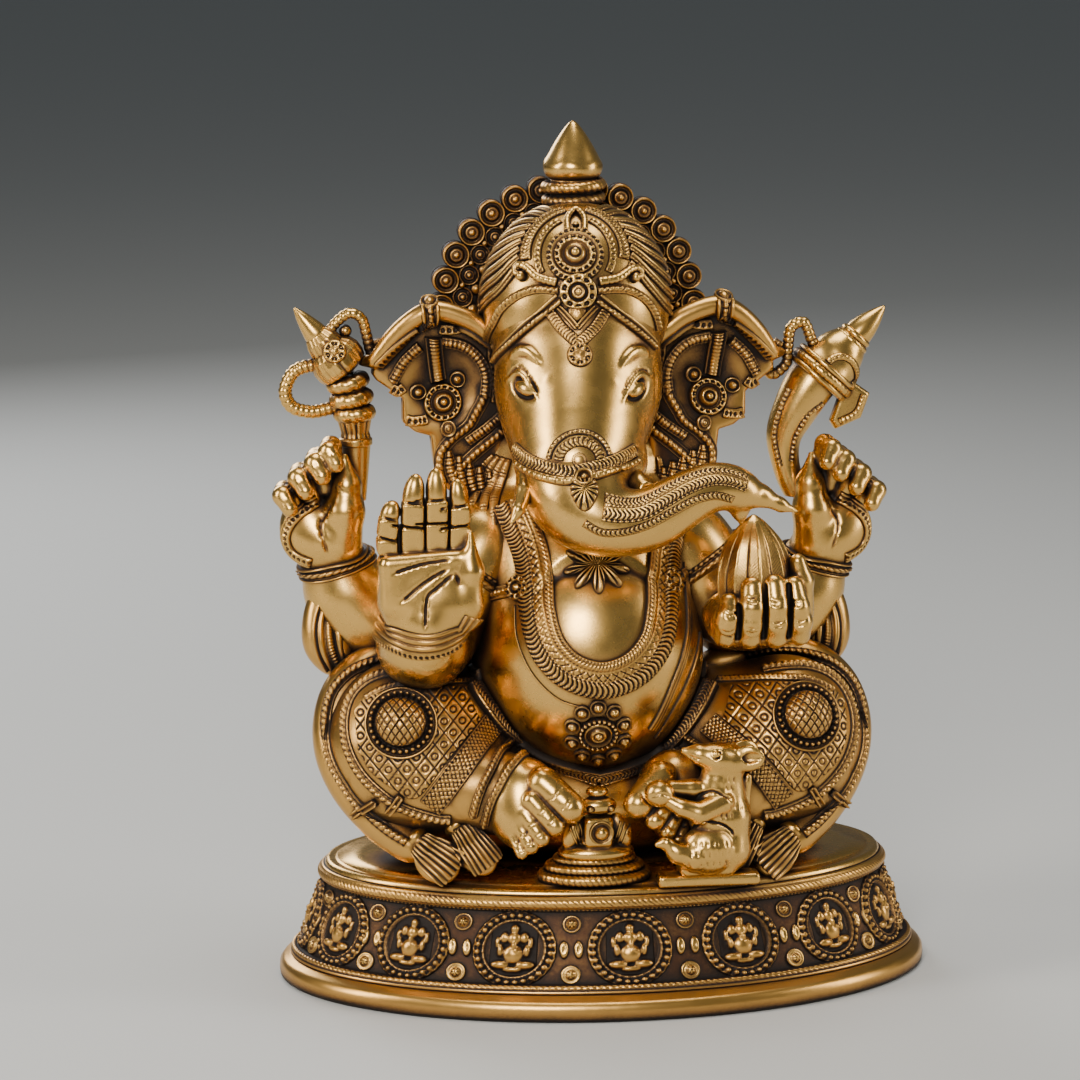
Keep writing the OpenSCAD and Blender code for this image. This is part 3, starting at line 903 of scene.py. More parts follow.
# Blobs of the small seated figure on a medallion: place across and up, half sizes, and rise
FIGURE = [(0, -1.6, 3.3, 3.3, 2.1), (0, 3.2, 2.3, 2.3, 2.2),
          (-2.9, 3.5, 1.5, 1.9, 1.3), (2.9, 3.5, 1.5, 1.9, 1.3),
          (0.1, 1.1, 1.0, 1.7, 2.7), (0.9, -0.5, 0.9, 0.9, 2.7), (1.9, -0.9, 0.8, 0.7, 2.5),
          (0, 6.2, 1.5, 1.6, 1.8), (-3.9, -0.5, 1.1, 2.2, 1.6), (3.9, -0.5, 1.1, 2.2, 1.6),
          (-4.9, 2.0, 0.9, 2.0, 1.2), (4.9, 2.0, 0.9, 2.0, 1.2),
          (-3.7, -5.0, 3.0, 1.5, 1.8), (3.7, -5.0, 3.0, 1.5, 1.8), (0, -6.4, 3.2, 1.0, 1.3)]


def plinth():
    plate = Heap()
    oval_band(plate, [(98.6, 60.6, 0), (99.7, 61.7, 0.8), (100, 62, 2.4), (99.8, 61.8, 4.6),
                      (98.9, 60.9, 5.9), (96.6, 57.6, 7.2), (94, 54.4, 7.7)], inner=20)
    finish_piece(plate.cast("foot_rim"), "foot_rim", "antiqued_brass")

    wall = Heap()
    size = [WALL_LOW + (WALL_HIGH - WALL_LOW) * k / 6 for k in range(7)]
    oval_band(wall, [(p[0], p[1], p[2]) for p in size], inner=5, age=0.75)
    oval_band(wall, [(96.2, 56.6, 7.3), (96.2, 56.6, 8.4), (94.2, 54.7, 9.9)],
              [(1.1, 0.4, flat()), (2.5, 0.9, rope(2.0, 1.2))], inner=4)
    oval_band(wall, [(86.6, 48.1, 30.4), (86.2, 47.7, 31.4)], [(1.4, 0.6, bead(1.5))], inner=3)
    finish_piece(wall.cast("plinth_wall"), "plinth_wall")

    discs, studs = Heap(), Heap()
    for k in range(16):
        turn = 2 * pi * k / 16
        wide = 13.0 * (0.66 + 0.34 * abs(cos(turn)))
        place = wall_place(turn, 0.5)
        frame_zones = [(0.8, 0.9, flat(0.9)), (2.0, 1.9, bead(1 / 28)), (0.9, 1.5, flat(0.9)),
                       (8.3, 0.1, lambda s, t: 0.3 + 0 * s * t)]
        boss(discs, None, 12.3, frame_zones, place=lambda u, w, p=place, g=wide / 12.3: p(u * g, w),
             step=0.54)
        figure_on_disc(discs, place, 0.92 * wide / 11.6)
        between = turn + pi / 16
        for rise, size in ((0.20, 3.1), (0.80, 2.9)):
            here = wall_place(between, rise)
            boss(studs, None, size, [(0.9, 0.8, flat(0.5)), (0.5, 0.5, flat()),
                                     (size - 1.4, 1.7, star_punch)],
                 place=here, step=0.4)
        here = wall_place(between, 0.5)
        for side in (-1, 1):
            leaf_pair(studs, here, side)
    finish_piece(discs.cast("plinth_medallions"), "plinth_medallions")
    finish_piece(studs.cast("plinth_studs"), "plinth_studs", "polished_brass")

    border = Heap()
    oval_band(border, [(87.2, 48.7, 31.2), (87.6, 49.1, 31.9), (87.0, 48.5, 34.3), (86.0, 47.5, 35.2)],
              [(0.8, 0.2, flat()), (2.6, 0.8, rope(1.9, 1.6)), (1.2, 0.3, flat(0.4))], inner=10)
    finish_piece(border.cast("deck_moulding"), "deck_moulding")

    deck = Heap()
    profile = [(85.8, 47.3, 34.6), (85.9, 47.4, 35.6), (85.0, 46.5, 36.7), (82.2, 43.7, 36.6),
               (81.8, 43.3, 37.1)]
    oval_band(deck, profile, inner=10)
    top = np.linspace(1, 0.004, 12)[:, None]
    angle = 2 * pi * np.arange(180)[None, :] / 180
    face = np.stack([81.9 * top * np.sin(angle), -43.4 * top * np.cos(angle), DECK + 0 * top * angle],
                    axis=-1)
    base = face[:1] - vec(0, 0, 2.6)
    deck.put(np.concatenate([base, face]), np.zeros((13, 180)))
    finish_piece(deck.cast("deck_plate"), "deck_plate", "polished_brass")


def star_punch(s, t):
    """A dome with a punched six-armed star."""
    return dome((t + 1) * 0.5 - 1) * (1 - 0.6 * stroke(s * 6, 0.14) * (t > -0.5))


def leaf_pair(heap, place, side):
    """A small leaf on the wall between an upper and a lower stud."""
    points, normal = place(vec(side * 2.2, side * 0.6)[None], vec(0.0, 0.0)[None])
    n = normal[0, 0]
    boss(heap, points[0, 0], 1.5, [(1.5, 0.9, flat(0.9))], out=n, tall=1.9, step=0.5)


def figure_on_disc(heap, place, scale):
    half = 8.3
    rows, cols = 40, 34
    w = np.linspace(-half, half, rows)[:, None]
    u = np.linspace(-half * 0.84, half * 0.84, cols)[None, :]
    rise = np.zeros((rows, cols))
    worn = np.zeros((rows, cols))
    for cx, cy, rx, ry, high in FIGURE:
        bump = 1 - ((u - cx) / rx) ** 2 - ((w - cy) / ry) ** 2
        lift = high * np.sqrt(np.clip(bump, 0, 1))
        edge = np.clip(bump * 2.2, 0, 1)
        worn = np.where(lift > rise, edge, worn)
        rise = np.maximum(rise, lift)
    ground, normal = place(u * scale + 0 * w, w + 0 * u)
    top = ground + normal * (rise + 0.12)[..., None]
    under = ground[:, [-1, 0]] - normal[:, [-1, 0]] * 0.8
    rings = np.concatenate([top, under], axis=1)
    heap.put(rings, np.concatenate([1 - worn, np.ones((rows, 2))], axis=1))


plinth()


# ---------------------------------------------------------------- the figure's rounded castings

SEAT, CHEST, FACE = -5.0, -7.0, -9.8       # the figure's middle line, which leans a little as it rises


def torso_clay():
    clay = Clay((-54, -50, 34), (40, 40, 168), 0.85)
    clay.add(egg((SEAT, 6, 56), (41, 30, 24)))
    clay.add(egg((-6, -5.5, 101), (34.5, 33, 38)), 8)
    clay.add(egg((CHEST, 0, 130), (29, 22, 24)), 14)
    clay.add(bone((-35, 4, 136), (21, 4, 136), 12.5, 12.5), 8)
    clay.add(bone((CHEST, 4, 140), (FACE, 2, 166), 17, 16), 6)
    clay.add(egg((FACE, 9, 157), (34, 12, 17)), 6)
    clay.cut(half_space((0, 0, DECK - 0.4), (0, 0, 1)), 0)
    return clay


def leg_clay():
    clay = Clay((-94, -58, 32), (-6, 34, 108), 0.68)
    clay.add(bone((-26, 4, 74), (-58, -8, 73), 21, 23))
    clay.add(egg((-63, -11, 73), (23, 21.5, 26)), 9)
    clay.add(bone((-60, -17, 66), (-36, -30, 63), 16, 12), 8)
    clay.add(bone((-60, -4, 56), (-26, 0, 54), 17, 17), 6)
    clay.cut(half_space((0, 0, DECK - 0.4), (0, 0, 1)), 0)
    return clay


def shawl_clay():
    """The shawl's rolled edge, round the outside of the knee."""
    clay = Clay((-98, -44, 32), (-34, 18, 110), 0.75)
    clay.tube([(-42, 8, 93, 4.0), (-58, 4, 97.5, 4.4), (-71, 0, 97, 4.8), (-80, -4, 90.5, 5.0),
               (-83.8, -8, 81, 5.0), (-83.2, -12, 71, 5.0), (-78.5, -17, 61.5, 5.0), (-71, -23, 53.5, 4.8),
               (-62.5, -29, 47, 4.2)], 1.5)
    clay.cut(half_space((0, 0, DECK - 0.4), (0, 0, 1)), 0)
    return clay


def tassel_clay():
    clay = Clay((-70, -48, 34), (-30, -14, 62), 0.5)
    for a, b, wide in (((-61.5, -30, 50), (-54, -36, 42.5), 6.4),
                       ((-49.5, -32, 54), (-42.5, -37, 44.5), 5.6)):
        a, b = vec(a), vec(b)
        axes = turned_axes(b - a, (0, -1, 0.3))
        clay.add(bone(a, a + (b - a) * 0.3, 3.0, 3.6), 1)
        clay.add(egg(b - (b - a) * 0.22, (7.6, wide, 2.8), axes), 1.5)
        clay.add(hoop(a, b - a, 2.4, 1.5), 0.5)
    clay.cut(half_space((0, 0, DECK - 0.4), (0, 0, 1)), 0)
    return clay


def foot_clay():
    """The right foot: a broad instep, and toes that step down to the deck."""
    clay = Clay((-48, -62, 38), (-6, -18, 82), 0.5)
    clay.add(egg((-31, -35, 63), (11.5, 11, 12.5), turned_axes((0.7, -0.3, -0.5))))
    clay.add(egg((-30, -40, 56), (7.5, 7.5, 8)), 6)
    toes = [((-25, -43, 69), (-17.6, -47.6, 62.4), 5.0), ((-28.6, -45.5, 64.5), (-22.4, -49.2, 57.4), 3.2),
            ((-30.6, -45.5, 60.5), (-26.4, -49.2, 53.8), 2.7),
            ((-32.4, -45, 57.2), (-29.4, -48.6, 51.2), 2.4),
            ((-34, -44, 54.2), (-32, -47.6, 49.2), 2.1)]
    for base, tip, r in toes:
        clay.add(bone(base, tip, r, 0.92 * r), 0.5)
    for base, tip, r in toes:
        base, tip = vec(base), vec(tip)
        along = unit(tip - base)
        side = unit(np.cross(along, (0, -1, 0.2)))
        for share, bow in ((0.3, 0.9), (0.68, 1.2)):
            middle = base + (tip - base) * share + vec(0, -r, 0.4)
            clay.groove([middle + side * 0.7 * r, middle + along * bow, middle - side * 0.7 * r], 0.75, 0.4)
    return clay


def head_clay():
    clay = Clay((-50, -56, 146), (30, 34, 240), 0.6)
    clay.add(egg((FACE + 0.5, -1.6, 204), (26, 23.4, 27)))
    clay.add(bone((FACE, -8, 196), (FACE - 1, -17, 172), 22.5, 19.5), 8)
    clay.add(egg((FACE - 10.5, -12, 184), (14, 15, 21)), 5)
    clay.add(egg((FACE + 10.5, -12, 184), (14, 15, 21)), 5)
    clay.add(bone((FACE, 4, 190), (FACE + 1, 6, 160), 20, 16), 8)
    clay.add(bone((FACE - 1, -17, 180), (-13.6, -30, 162), 17.5, 16.2), 9)
    clay.add(egg((0.5, -27, 161.5), (7.5, 8, 6)), 4)
    eyes = [((-30.0, 186.6), (-26.4, 183.6), (-33.9, 188.2),
             [(-26.0, 183.4), (-28.9, 188.8), (-31.8, 191.2), (-35.0, 188.8)],
             [(-22.6, 188.0), (-25.4, 194.0), (-29.3, 197.6), (-33.2, 196.6), (-36.0, 192.4)]),
            ((3.7, 185.4), (-0.2, 182.0), (7.4, 187.4),
             [(-0.6, 181.8), (1.8, 187.0), (4.9, 189.8), (7.8, 188.4)],
             [(-3.6, 186.4), (-1.0, 192.8), (2.6, 196.6), (6.2, 196.4), (8.4, 193.0)])]
    brow_sink = np.array([2.4, 0.8, 0.6, 0.7, 2.0])[:, None]
    for middle, inner, outer, lid, brow in eyes:
        at, a, b = front(clay, [middle, inner, outer])
        out = clay.lean(at[None], 2.5)[0]
        brow = front(clay, brow)
        lid = front(clay, lid)
        axes = turned_axes(b - a, out)
        brow = brow - clay.lean(brow) * brow_sink
        clay.tube([(*p, r) for p, r in zip(brow, (0.2, 1.2, 1.8, 1.5, 0.3))], 2.6)
        clay.cut(egg(at + out * 0.5, (5.2, 3.0, 1.8), axes), 1.4)
        turns = 2 * pi * np.arange(17)[:, None] / 16
        rim = at - out * 0.6 + 4.3 * np.cos(turns) * axes[0] + 2.4 * np.sin(turns) * axes[1]
        clay.groove(rim, 0.9, 0.6)
        clay.add(egg(at - out * 1.0, (4.1, 2.1, 2.3), axes), 0.2)
        clay.tube([(*p, r) for p, r in zip(lid - clay.lean(lid) * 0.2, (0.5, 0.85, 0.85, 0.5))], 0.4)
        clay.groove(lid + vec(0, 0, 1.7), 0.7, 0.5)
    return clay


TRUNK = [(-14.2, -30, 160.5, 14.5), (-14, -36.0, 155.0, 13.6), (-10.5, -42, 150, 10.8),
         (-4, -45, 147.4, 8.7), (4, -46, 147.6, 7.7), (10, -46.2, 150, 7.2), (16.5, -46, 153.8, 6.5),
         (23, -45.6, 156.8, 5.8),
         (29, -45, 157.2, 5.4), (34.5, -44.4, 155.2, 4.7)]


def trunk_clay():
    clay = Clay((-36, -64, 130), (58, -12, 182), 0.65)
    clay.tube(TRUNK, 0.6)
    clay.rods([(33, -44.6, 156.2, 4.9), (39.5, -44, 153.6, 3.5), (45.5, -43.6, 151, 2.0),
               (50.6, -43.4, 148.8, 0.5)], 1.5)
    clay.rods([(32, -44.6, 153.6, 4.8), (33.2, -44.2, 149.4, 2.4), (33.6, -44, 145.9, 0.6)], 1.5)
    clay.cut(egg((41.5, -44, 147.6), (5.4, 8, 2.5), turned_axes((1, 0, -0.42))), 0.5)
    return clay


def tusk_clay():
    clay = Clay((-40, -50, 138), (-18, -24, 172), 0.45)
    clay.rods([(-27.6, -31, 161.5, 3.6), (-29.6, -37.5, 156, 2.9), (-32.2, -42, 151.2, 1.9),
               (-34.6, -44, 147.6, 0.4)], 0.6)
    return clay


def stub_clay():
    clay = Clay((-6, -48, 146), (16, -20, 172), 0.45)
    clay.rods([(1, -30, 160.5, 3.6), (4.2, -37, 157.2, 3.2), (5.8, -40.6, 155.8, 2.8)], 0.6)
    clay.cut(half_space((5.6, -41.6, 155.6), (-0.35, 0.9, 0.1)), 0.3)
    return clay


EAR = [(-28, 196), (-35.7, 196.5), (-40.4, 200.6), (-48, 205), (-54, 206.2), (-59, 203), (-64, 198.2),
       (-68.6, 192),
       (-70, 185), (-68.8, 183.2), (-61, 177.6), (-61, 170.4), (-57.2, 167.4), (-52.7, 166.2), (-52, 160),
       (-50.5, 152), (-44, 147), (-32, 150)]


def ear_bend(x, z):
    return 3.5 + 0.004 * (x + 40) ** 2


def ear_age(points):
    """Brown patina in the dished face of the ear, darkest beside the cheek."""
    behind = points[:, 1] - ear_bend(points[:, 0], points[:, 2]) + 3.2
    dish = np.clip((behind - 0.3) / 0.8, 0, 1) * (behind < 4.6)
    x, z = points[:, 0], points[:, 2]
    low = np.clip((177 - z) / 3, 0, 1) * np.clip((x + 50) / 2, 0, 1) * (behind < 2)
    cheek = np.clip((x + 41) / 3, 0, 1) * np.clip((184 - z) / 3, 0, 1) * (behind < 4.6)
    return np.maximum(0.34 * dish, np.maximum(0.5 * low, 0.8 * cheek))


def ear_clay():
    clay = Clay((-76, -10, 140), (-22, 20, 214), 0.55)
    clay.add(sheet(EAR, ear_bend, 6.4, 1.4), 0)
    clay.cut(egg((-50, -3.4, 183), (16.5, 6.4, 16)), 1.5)
    clay.tube([(-30, -2, 194, 2.4), (-36, -2, 198.2, 2.4), (-41, -1.6, 201.6, 2.5), (-49, -1, 204.4, 2.6),
               (-54, -0.8, 204.2, 2.6), (-59, 0, 201.2, 2.5), (-64, 1.5, 196.2, 2.4), (-69, 3, 189.6, 1.9)],
              1.2)
    clay.add(bone((-69.4, 4, 189), (-72.4, 8, 188.6), 2.2, 1.6), 1)
    return clay


def finger(clay, joints, wide, thick, facing, tip=0.82, soft=0.25):
    """A finger of three squared segments along its joints, with a cut at each joint."""
    joints = [vec(*p) for p in joints]
    for k, (a, b) in enumerate(zip(joints[:-1], joints[1:-1])):
        along, side, up = turned_axes(b - a, facing)
        shrink = 1 - 0.03 * k
        half = vec(np.linalg.norm(b - a) / 2 + 0.12, wide / 2 * shrink, thick / 2 * shrink)
        clay.add(brick((a + b) / 2, half, 0.9, np.stack([along, side, up])), soft)
    a, b = joints[-2], joints[-1]
    axes = turned_axes(b - a, facing)
    span = np.linalg.norm(b - a)
    clay.add(egg(a + axes[0] * 0.22 * span, (0.8 * span, wide / 2 * tip, thick / 2), axes), soft)
    for joint, half in zip(joints[1:-1], (0.3, 0.4)):
        clay.cut(brick(joint + axes[2] * 0.62 * thick, (half, wide, 0.34 * thick), 0.15, axes), 0.2)


def blessing_clay():
    """The right front arm and its open palm."""
    clay = Clay((-78, -46, 88), (-24, 14, 168), 0.5)
    clay.tube([(-36, 0, 134, 12.5), (-45, -2, 121, 12), (-53, -7, 111, 11.5), (-57.5, -17, 107, 10.5),
               (-58, -25, 109, 9.6)], 1.0)
    clay.add(bone((-58, -27, 110), (-57.5, -30, 116), 9.2, 9.8), 4)
    clay.add(egg((-57.2, -31.5, 123), (15.0, 6.6, 13.2)), 3)
    clay.add(brick((-58.2, -31.8, 129), (14.0, 5.2, 9.0), 3.0, turned_axes((1, 0, 0.06))), 2.5)
    clay.add(egg((-50.5, -34.6, 121.5), (6.6, 4.0, 9.0), turned_axes((0.25, 0, 1))), 3.0)
    clay.rods([(-46.4, -33.6, 122, 4.4), (-45.0, -34.8, 132, 3.4), (-45.4, -35.4, 143.6, 0.7)], 2.0)
    clay.add(brick((-55.4, -29.8, 145), (9.0, 1.6, 8.4), 1.0), 0.3)
    clay.add(brick((-66.5, -29.8, 140), (5.0, 1.6, 5.6), 1.0), 0.3)
    for x0, x1, x2, x3, z1, z2, z3, wide in ((-69.6, -69.9, -69.2, -67.6, 142.2, 148.2, 154.2, 6.0),
                                             (-62.2, -62.3, -62.2, -61.0, 145.5, 152.7, 162.0, 6.7),
                                             (-55.2, -55.1, -55.1, -55.3, 146.5, 153.4, 163.6, 6.6),
                                             (-48.5, -48.2, -48.2, -49.2, 145.5, 151.5, 160.4, 6.0)):
        joints = [(x0, -31.5, 137.6), (x1, -32.2, z1), (x2, -33, z2), (x3, -33.0, z3 - 1.0)]
        finger(clay, joints, wide, 5.8, (0, -1, 0), tip=0.96)
    creases = [[(-68.4, 132.0), (-60.2, 134.5), (-51.3, 135.8)],
               [(-66.1, 123.4), (-59.3, 129.0), (-52.0, 133.1)],
               [(-59.1, 114.9), (-58.4, 124.3), (-55.1, 127.7), (-50.4, 131.6)],
               [(-48.8, 128.1), (-49.9, 131.6)]]
    for line in [front(clay, line, -36) for line in creases]:
        clay.groove(line, 1.0, 0.8)
    return clay


def sweet_hand_clay():
    """The left front arm, with four fingers closed over the front of the sweet."""
    clay = Clay((10, -52, 88), (66, 16, 148), 0.5)
    clay.tube([(22, 0, 134, 12.5), (31, -2, 121, 12), (38, -5, 113.5, 10.5), (42.5, -13, 112, 8.5),
               (43, -21, 113.5, 7.6)], 1.0)
    clay.add(egg((41, -28, 115), (15.8, 10, 9)), 3)
    clay.add(brick((41, -33.4, 113.6), (14.8, 7.6, 6.6), 5.6), 2.5)
    for x0, x1, top, r in ((30.2, 31.2, 120.8, 3.3), (37.4, 38.2, 125.4, 3.9), (45.4, 44.6, 125.8, 3.9),
                           (52.6, 50.6, 125.4, 3.4)):
        clay.rods([(x0, -38.6, 110.6, r), (x0, -40.8, 115, r),
                   ((x0 + x1) / 2, -41.2, 120.5 - (127 - top) / 2, r), (x1, -39.2, top, 0.94 * r)],
                  0.6, joint=1.2)
    for x0, x1, top in ((33.6, 33.8, 121), (41.2, 41.6, 127), (49.2, 48.6, 127)):
        clay.cut(brick(((x0 + x1) / 2, -43.6, (110 + top) / 2), (0.75, 4.4, (top - 110) / 2), 0.7), 0.5)
    for x, z in ((30.6, 112.4), (31.2, 118.2), (37.6, 113.2), (38.0, 122.8), (45.6, 115.0), (45.0, 121.8),
                 (52.4, 115.2), (51.2, 121.4)):
        for drop in (0, 1.3):
            bow = [(x - 1.9, z + 0.9 - drop), (x, z - drop), (x + 1.9, z + 0.9 - drop)]
            clay.groove(front(clay, bow, -42), 0.85, 0.6)
    clay.rods([(54.6, -32, 116, 3.8), (54.2, -34, 126, 3.4), (52.8, -34.6, 132, 2.4)], 1.5)
    return clay


def rear_arm_clay():
    """The right rear arm, its palm turned outwards and its fingers curled over."""
    clay = Clay((-103, -14, 86), (-22, 32, 172), 0.7)
    clay.tube([(-36, 10, 134, 11.5), (-50, 12, 118, 12), (-63, 13, 108, 12), (-73, 12, 111, 11),
               (-79.5, 11, 121, 9.0)], 1.0)
    clay.rods([(-80, 10.5, 124, 8.4), (-84, 8, 134, 9.6)], 4)
    clay.add(egg((-88.5, 8, 138), (9.5, 7.5, 11)), 4)
    clay.rods([(-79.6, 4, 134, 6.2), (-78.6, 2.5, 144, 5.6), (-78.0, 2.8, 152, 4.0),
               (-78.4, 3.4, 160.6, 0.9)], 2.5)
    for x0, z0, x1, z1, r in ((-92.5, 143.5, -96.6, 150.4, 3.1), (-88.2, 147.4, -91.8, 155.6, 3.3),
                              (-84.2, 151, -86.8, 160.0, 3.3), (-81.4, 156, -82.6, 163.6, 3.1)):
        clay.rods([(x0, 5.5, z0, r * 0.96), (x1, 3.0, z1, r), (x1 - 1.2, -1.6, z1 - 0.6, r * 0.95),
                   (x1 + 0.8, -4.2, z1 - 4.2, r * 0.82)],
                  0.35, joint=1.0)
        clay.groove([(x1 - 2.2, -5, z1 + 0.6), (x1 - 1.2, -7, z1 - 0.2), (x1, -5, z1 - 1)], 0.6, 0.4)
    clay.groove([(-83.5, -1, 148), (-86.5, -1, 141), (-84, -1, 131)], 1.0, 0.7)
    for z in (141, 151):
        clay.groove([(-80.8, -6, z + 0.8), (-78.6, -7, z - 0.2), (-76.6, -6, z + 0.8)], 0.6, 0.4)
    return clay


def crown_clay():
    clay = Clay((-44, -38, 184), (26, 36, 242), 0.75)
    clay.add(egg((-9.2, -2.4, 206.5), (28.2, 25.6, 30.0)))
    clay.cut(half_space((-9, 0, 190), (0, 0.25, 1)), 1)

    def opening(x, y, z):
        """Below the two swags that part over the forehead."""
        return np.maximum(z - 208.5 + 0.52 * np.abs(x + 11.8) + 0.006 * (x + 11.8) ** 2, y + 2) * 0.8
    clay.cut((vec(-44, -40, 184), vec(26, 0, 212), opening), 0.8)
    return clay


def mouse_clay():
    clay = Clay((0, -62, 36), (46, -30, 86), 0.42)
    clay.add(bone((30.5, -45, 57), (29.5, -45, 48), 6.0, 7.8))
    clay.add(bone((30.3, -45, 70), (30.5, -45, 58), 4.3, 5.8), 3)
    clay.rods([(16.6, -47.2, 78.4, 1.1), (21, -47.2, 77.2, 2.8), (26.5, -46.8, 75.6, 4.6),
               (31, -46, 74.6, 4.9)], 2)
    for y, lean in ((-49.4, -0.25), (-42.4, 0.25)):
        clay.add(egg((35.2, y, 76.0), (5.2, 1.5, 4.0), turned_axes((0.95, lean, 0.15))), 0.5)
        clay.cut(egg((36.2, y - 1.2, 76.4), (2.9, 0.9, 1.7), turned_axes((0.95, lean, 0.15))), 0.4)
    clay.cut(hoop((25.6, -50.9, 77.9), (0.1, -1, 0.25), 1.25, 0.35), 0.1)
    clay.add(ball((25.6, -50.6, 77.9), 0.9), 0.1)
    clay.groove([(16.6, -48.6, 77.8), (19.4, -49.8, 76.6), (21.8, -50.6, 76.4)], 0.7, 0.45)
    clay.add(bone((26.5, -46.5, 69), (24.5, -46.5, 58), 5.0, 6.6), 2)
    clay.rods([(27.5, -50, 63, 3.6), (20.5, -52.4, 60.6, 3.3), (15, -52.4, 62.4, 2.6),
               (11, -51.4, 64.6, 2.0)], 0.7)
    clay.rods([(27, -46.5, 67.0, 3.2), (19, -47.5, 66.8, 2.9), (12.6, -48.4, 67.4, 2.4)], 0.9)
    clay.add(egg((20.5, -46.4, 64.6), (8.5, 2.6, 3.4)), 0.8)
    clay.add(brick((23.4, -45.6, 44.6), (8.2, 5.2, 4.6), 2.4), 2.0)
    clay.add(egg((23.6, -49.6, 48.8), (8.4, 5.6, 7.6)), 0.5)
    clay.rods([(19, -51, 47, 4.4), (14, -51.5, 48.6, 3.2), (10.6, -51.6, 51.6, 1.9),
               (8.0, -51.6, 51.2, 0.9)], 1.2)
    clay.tube([(34, -43, 44, 1.5), (35.8, -43.4, 52, 1.5), (35.6, -44, 62, 1.5), (36.4, -44.4, 69, 1.2)],
              0.5)
    clay.groove(front(clay, arc((23.8, 50.0), 8.2, 155, 20, 0.86), -50), 0.9, 0.8)
    clay.groove(front(clay, [(19.4, 64.6), (24, 66.6), (28.4, 65.0), (30.6, 63.2)], -50), 0.8, 0.6)
    for k in range(7):
        turn = radians(-60 + 22 * k)
        along = vec(cos(turn), 0.9 * sin(turn))
        ear_ray = [vec(36.2, 76.4) + along * 2.6, vec(36.2, 76.4) + along * 3.9]
        clay.groove(front(clay, ear_ray, -50), 0.5, 0.4)
    for row, (z, x) in enumerate(((44.2, 17.6), (47.2, 18.4), (50.2, 19.4), (58.6, 27.6), (61.2, 30.4),
                                  (67.4, 27.4), (69.8, 28.2))):
        for k in range(7 if row < 3 else 3):
            across = x + (1.9 if row < 3 else 1.5) * k
            clay.groove(front(clay, [(across, z + 1.0), (across + 0.1, z - 0.9)], -50), 0.7, 0.5)
    clay.cut(half_space((0, 0, DECK + 1.0), (0, 0, 1)), 0)
    return clay


torso, leg, foot, head, trunk = torso_clay(), leg_clay(), foot_clay(), head_clay(), trunk_clay()
ear, crown = ear_clay(), crown_clay()
blessing, sweet_hand, rear_arm = blessing_clay(), sweet_hand_clay(), rear_arm_clay()

LEG_TWIN = dict(middle=SEAT + 0.6, shift=(0, 0, -2))
EAR_TWIN = dict(middle=-8.6, shift=(0, 0, 0))
REAR_TWIN = dict(middle=-6.0, shift=(-2, 0, -3))

finish_piece(torso.cast("torso"), "torso", "polished_brass")
leg_right = finish_piece(leg.cast("leg_right"), "leg_right")
twin(leg_right, "leg_left", "leg_left", "antiqued_brass", **LEG_TWIN)
foot_right = finish_piece(foot.cast("foot_right"), "foot_right", "polished_brass")
twin(foot_right, "foot_left", "foot_left", "polished_brass", SEAT - 2.2, (0, 2, 0))
finish_piece(head.cast("head"), "head", "polished_brass")
finish_piece(trunk.cast("trunk"), "trunk", "polished_brass")
finish_piece(tusk_clay().cast("whole_tusk"), "whole_tusk", "polished_brass")
finish_piece(stub_clay().cast("broken_tusk"), "broken_tusk", "polished_brass")
ear_right = finish_piece(ear.cast("ear_right", age=ear_age), "ear_right")
twin(ear_right, "ear_left", "ear_left", "antiqued_brass", **EAR_TWIN)
finish_piece(crown.cast("crown_cap"), "crown_cap", "polished_brass")
finish_piece(blessing.cast("front_arm_right"), "front_arm_right", "polished_brass")
finish_piece(sweet_hand.cast("front_arm_left"), "front_arm_left", "polished_brass")
rear_right = finish_piece(rear_arm.cast("rear_arm_right"), "rear_arm_right", "polished_brass")
twin(rear_right, "rear_arm_left", "rear_arm_left", "polished_brass", **REAR_TWIN)
finish_piece(mouse_clay().cast("mouse"), "mouse", "polished_brass")


# ---------------------------------------------------------------- crown and halo

ROPE_BAND = [(0.5, 0.9, flat(0.9)), (1.9, 1.9, rope(1.6, 1.1)), (0.5, 0.9, flat(0.9))]
CROWN_MIDDLE = -15.0                       # the crown's middle as the front view sees it
face = Group(head, crown, trunk)
brow = Group(head, crown)


def both_sides(points, middle):
    """The points, and their mirror image across X = middle, which runs the same way."""
    return [(-1, points), (1, [(2 * middle - p[0], *p[1:]) for p in points])]


def on_crown(azimuth, z, side):
    """A point on the crown, at an angle round from the front."""
    size = sqrt(max(0.02, 1 - ((z - 206.5) / 30) ** 2))
    return vec(-9.2 + side * 28.2 * size * sin(radians(azimuth)),
               -2.4 - 25.6 * size * cos(radians(azimuth)), z)


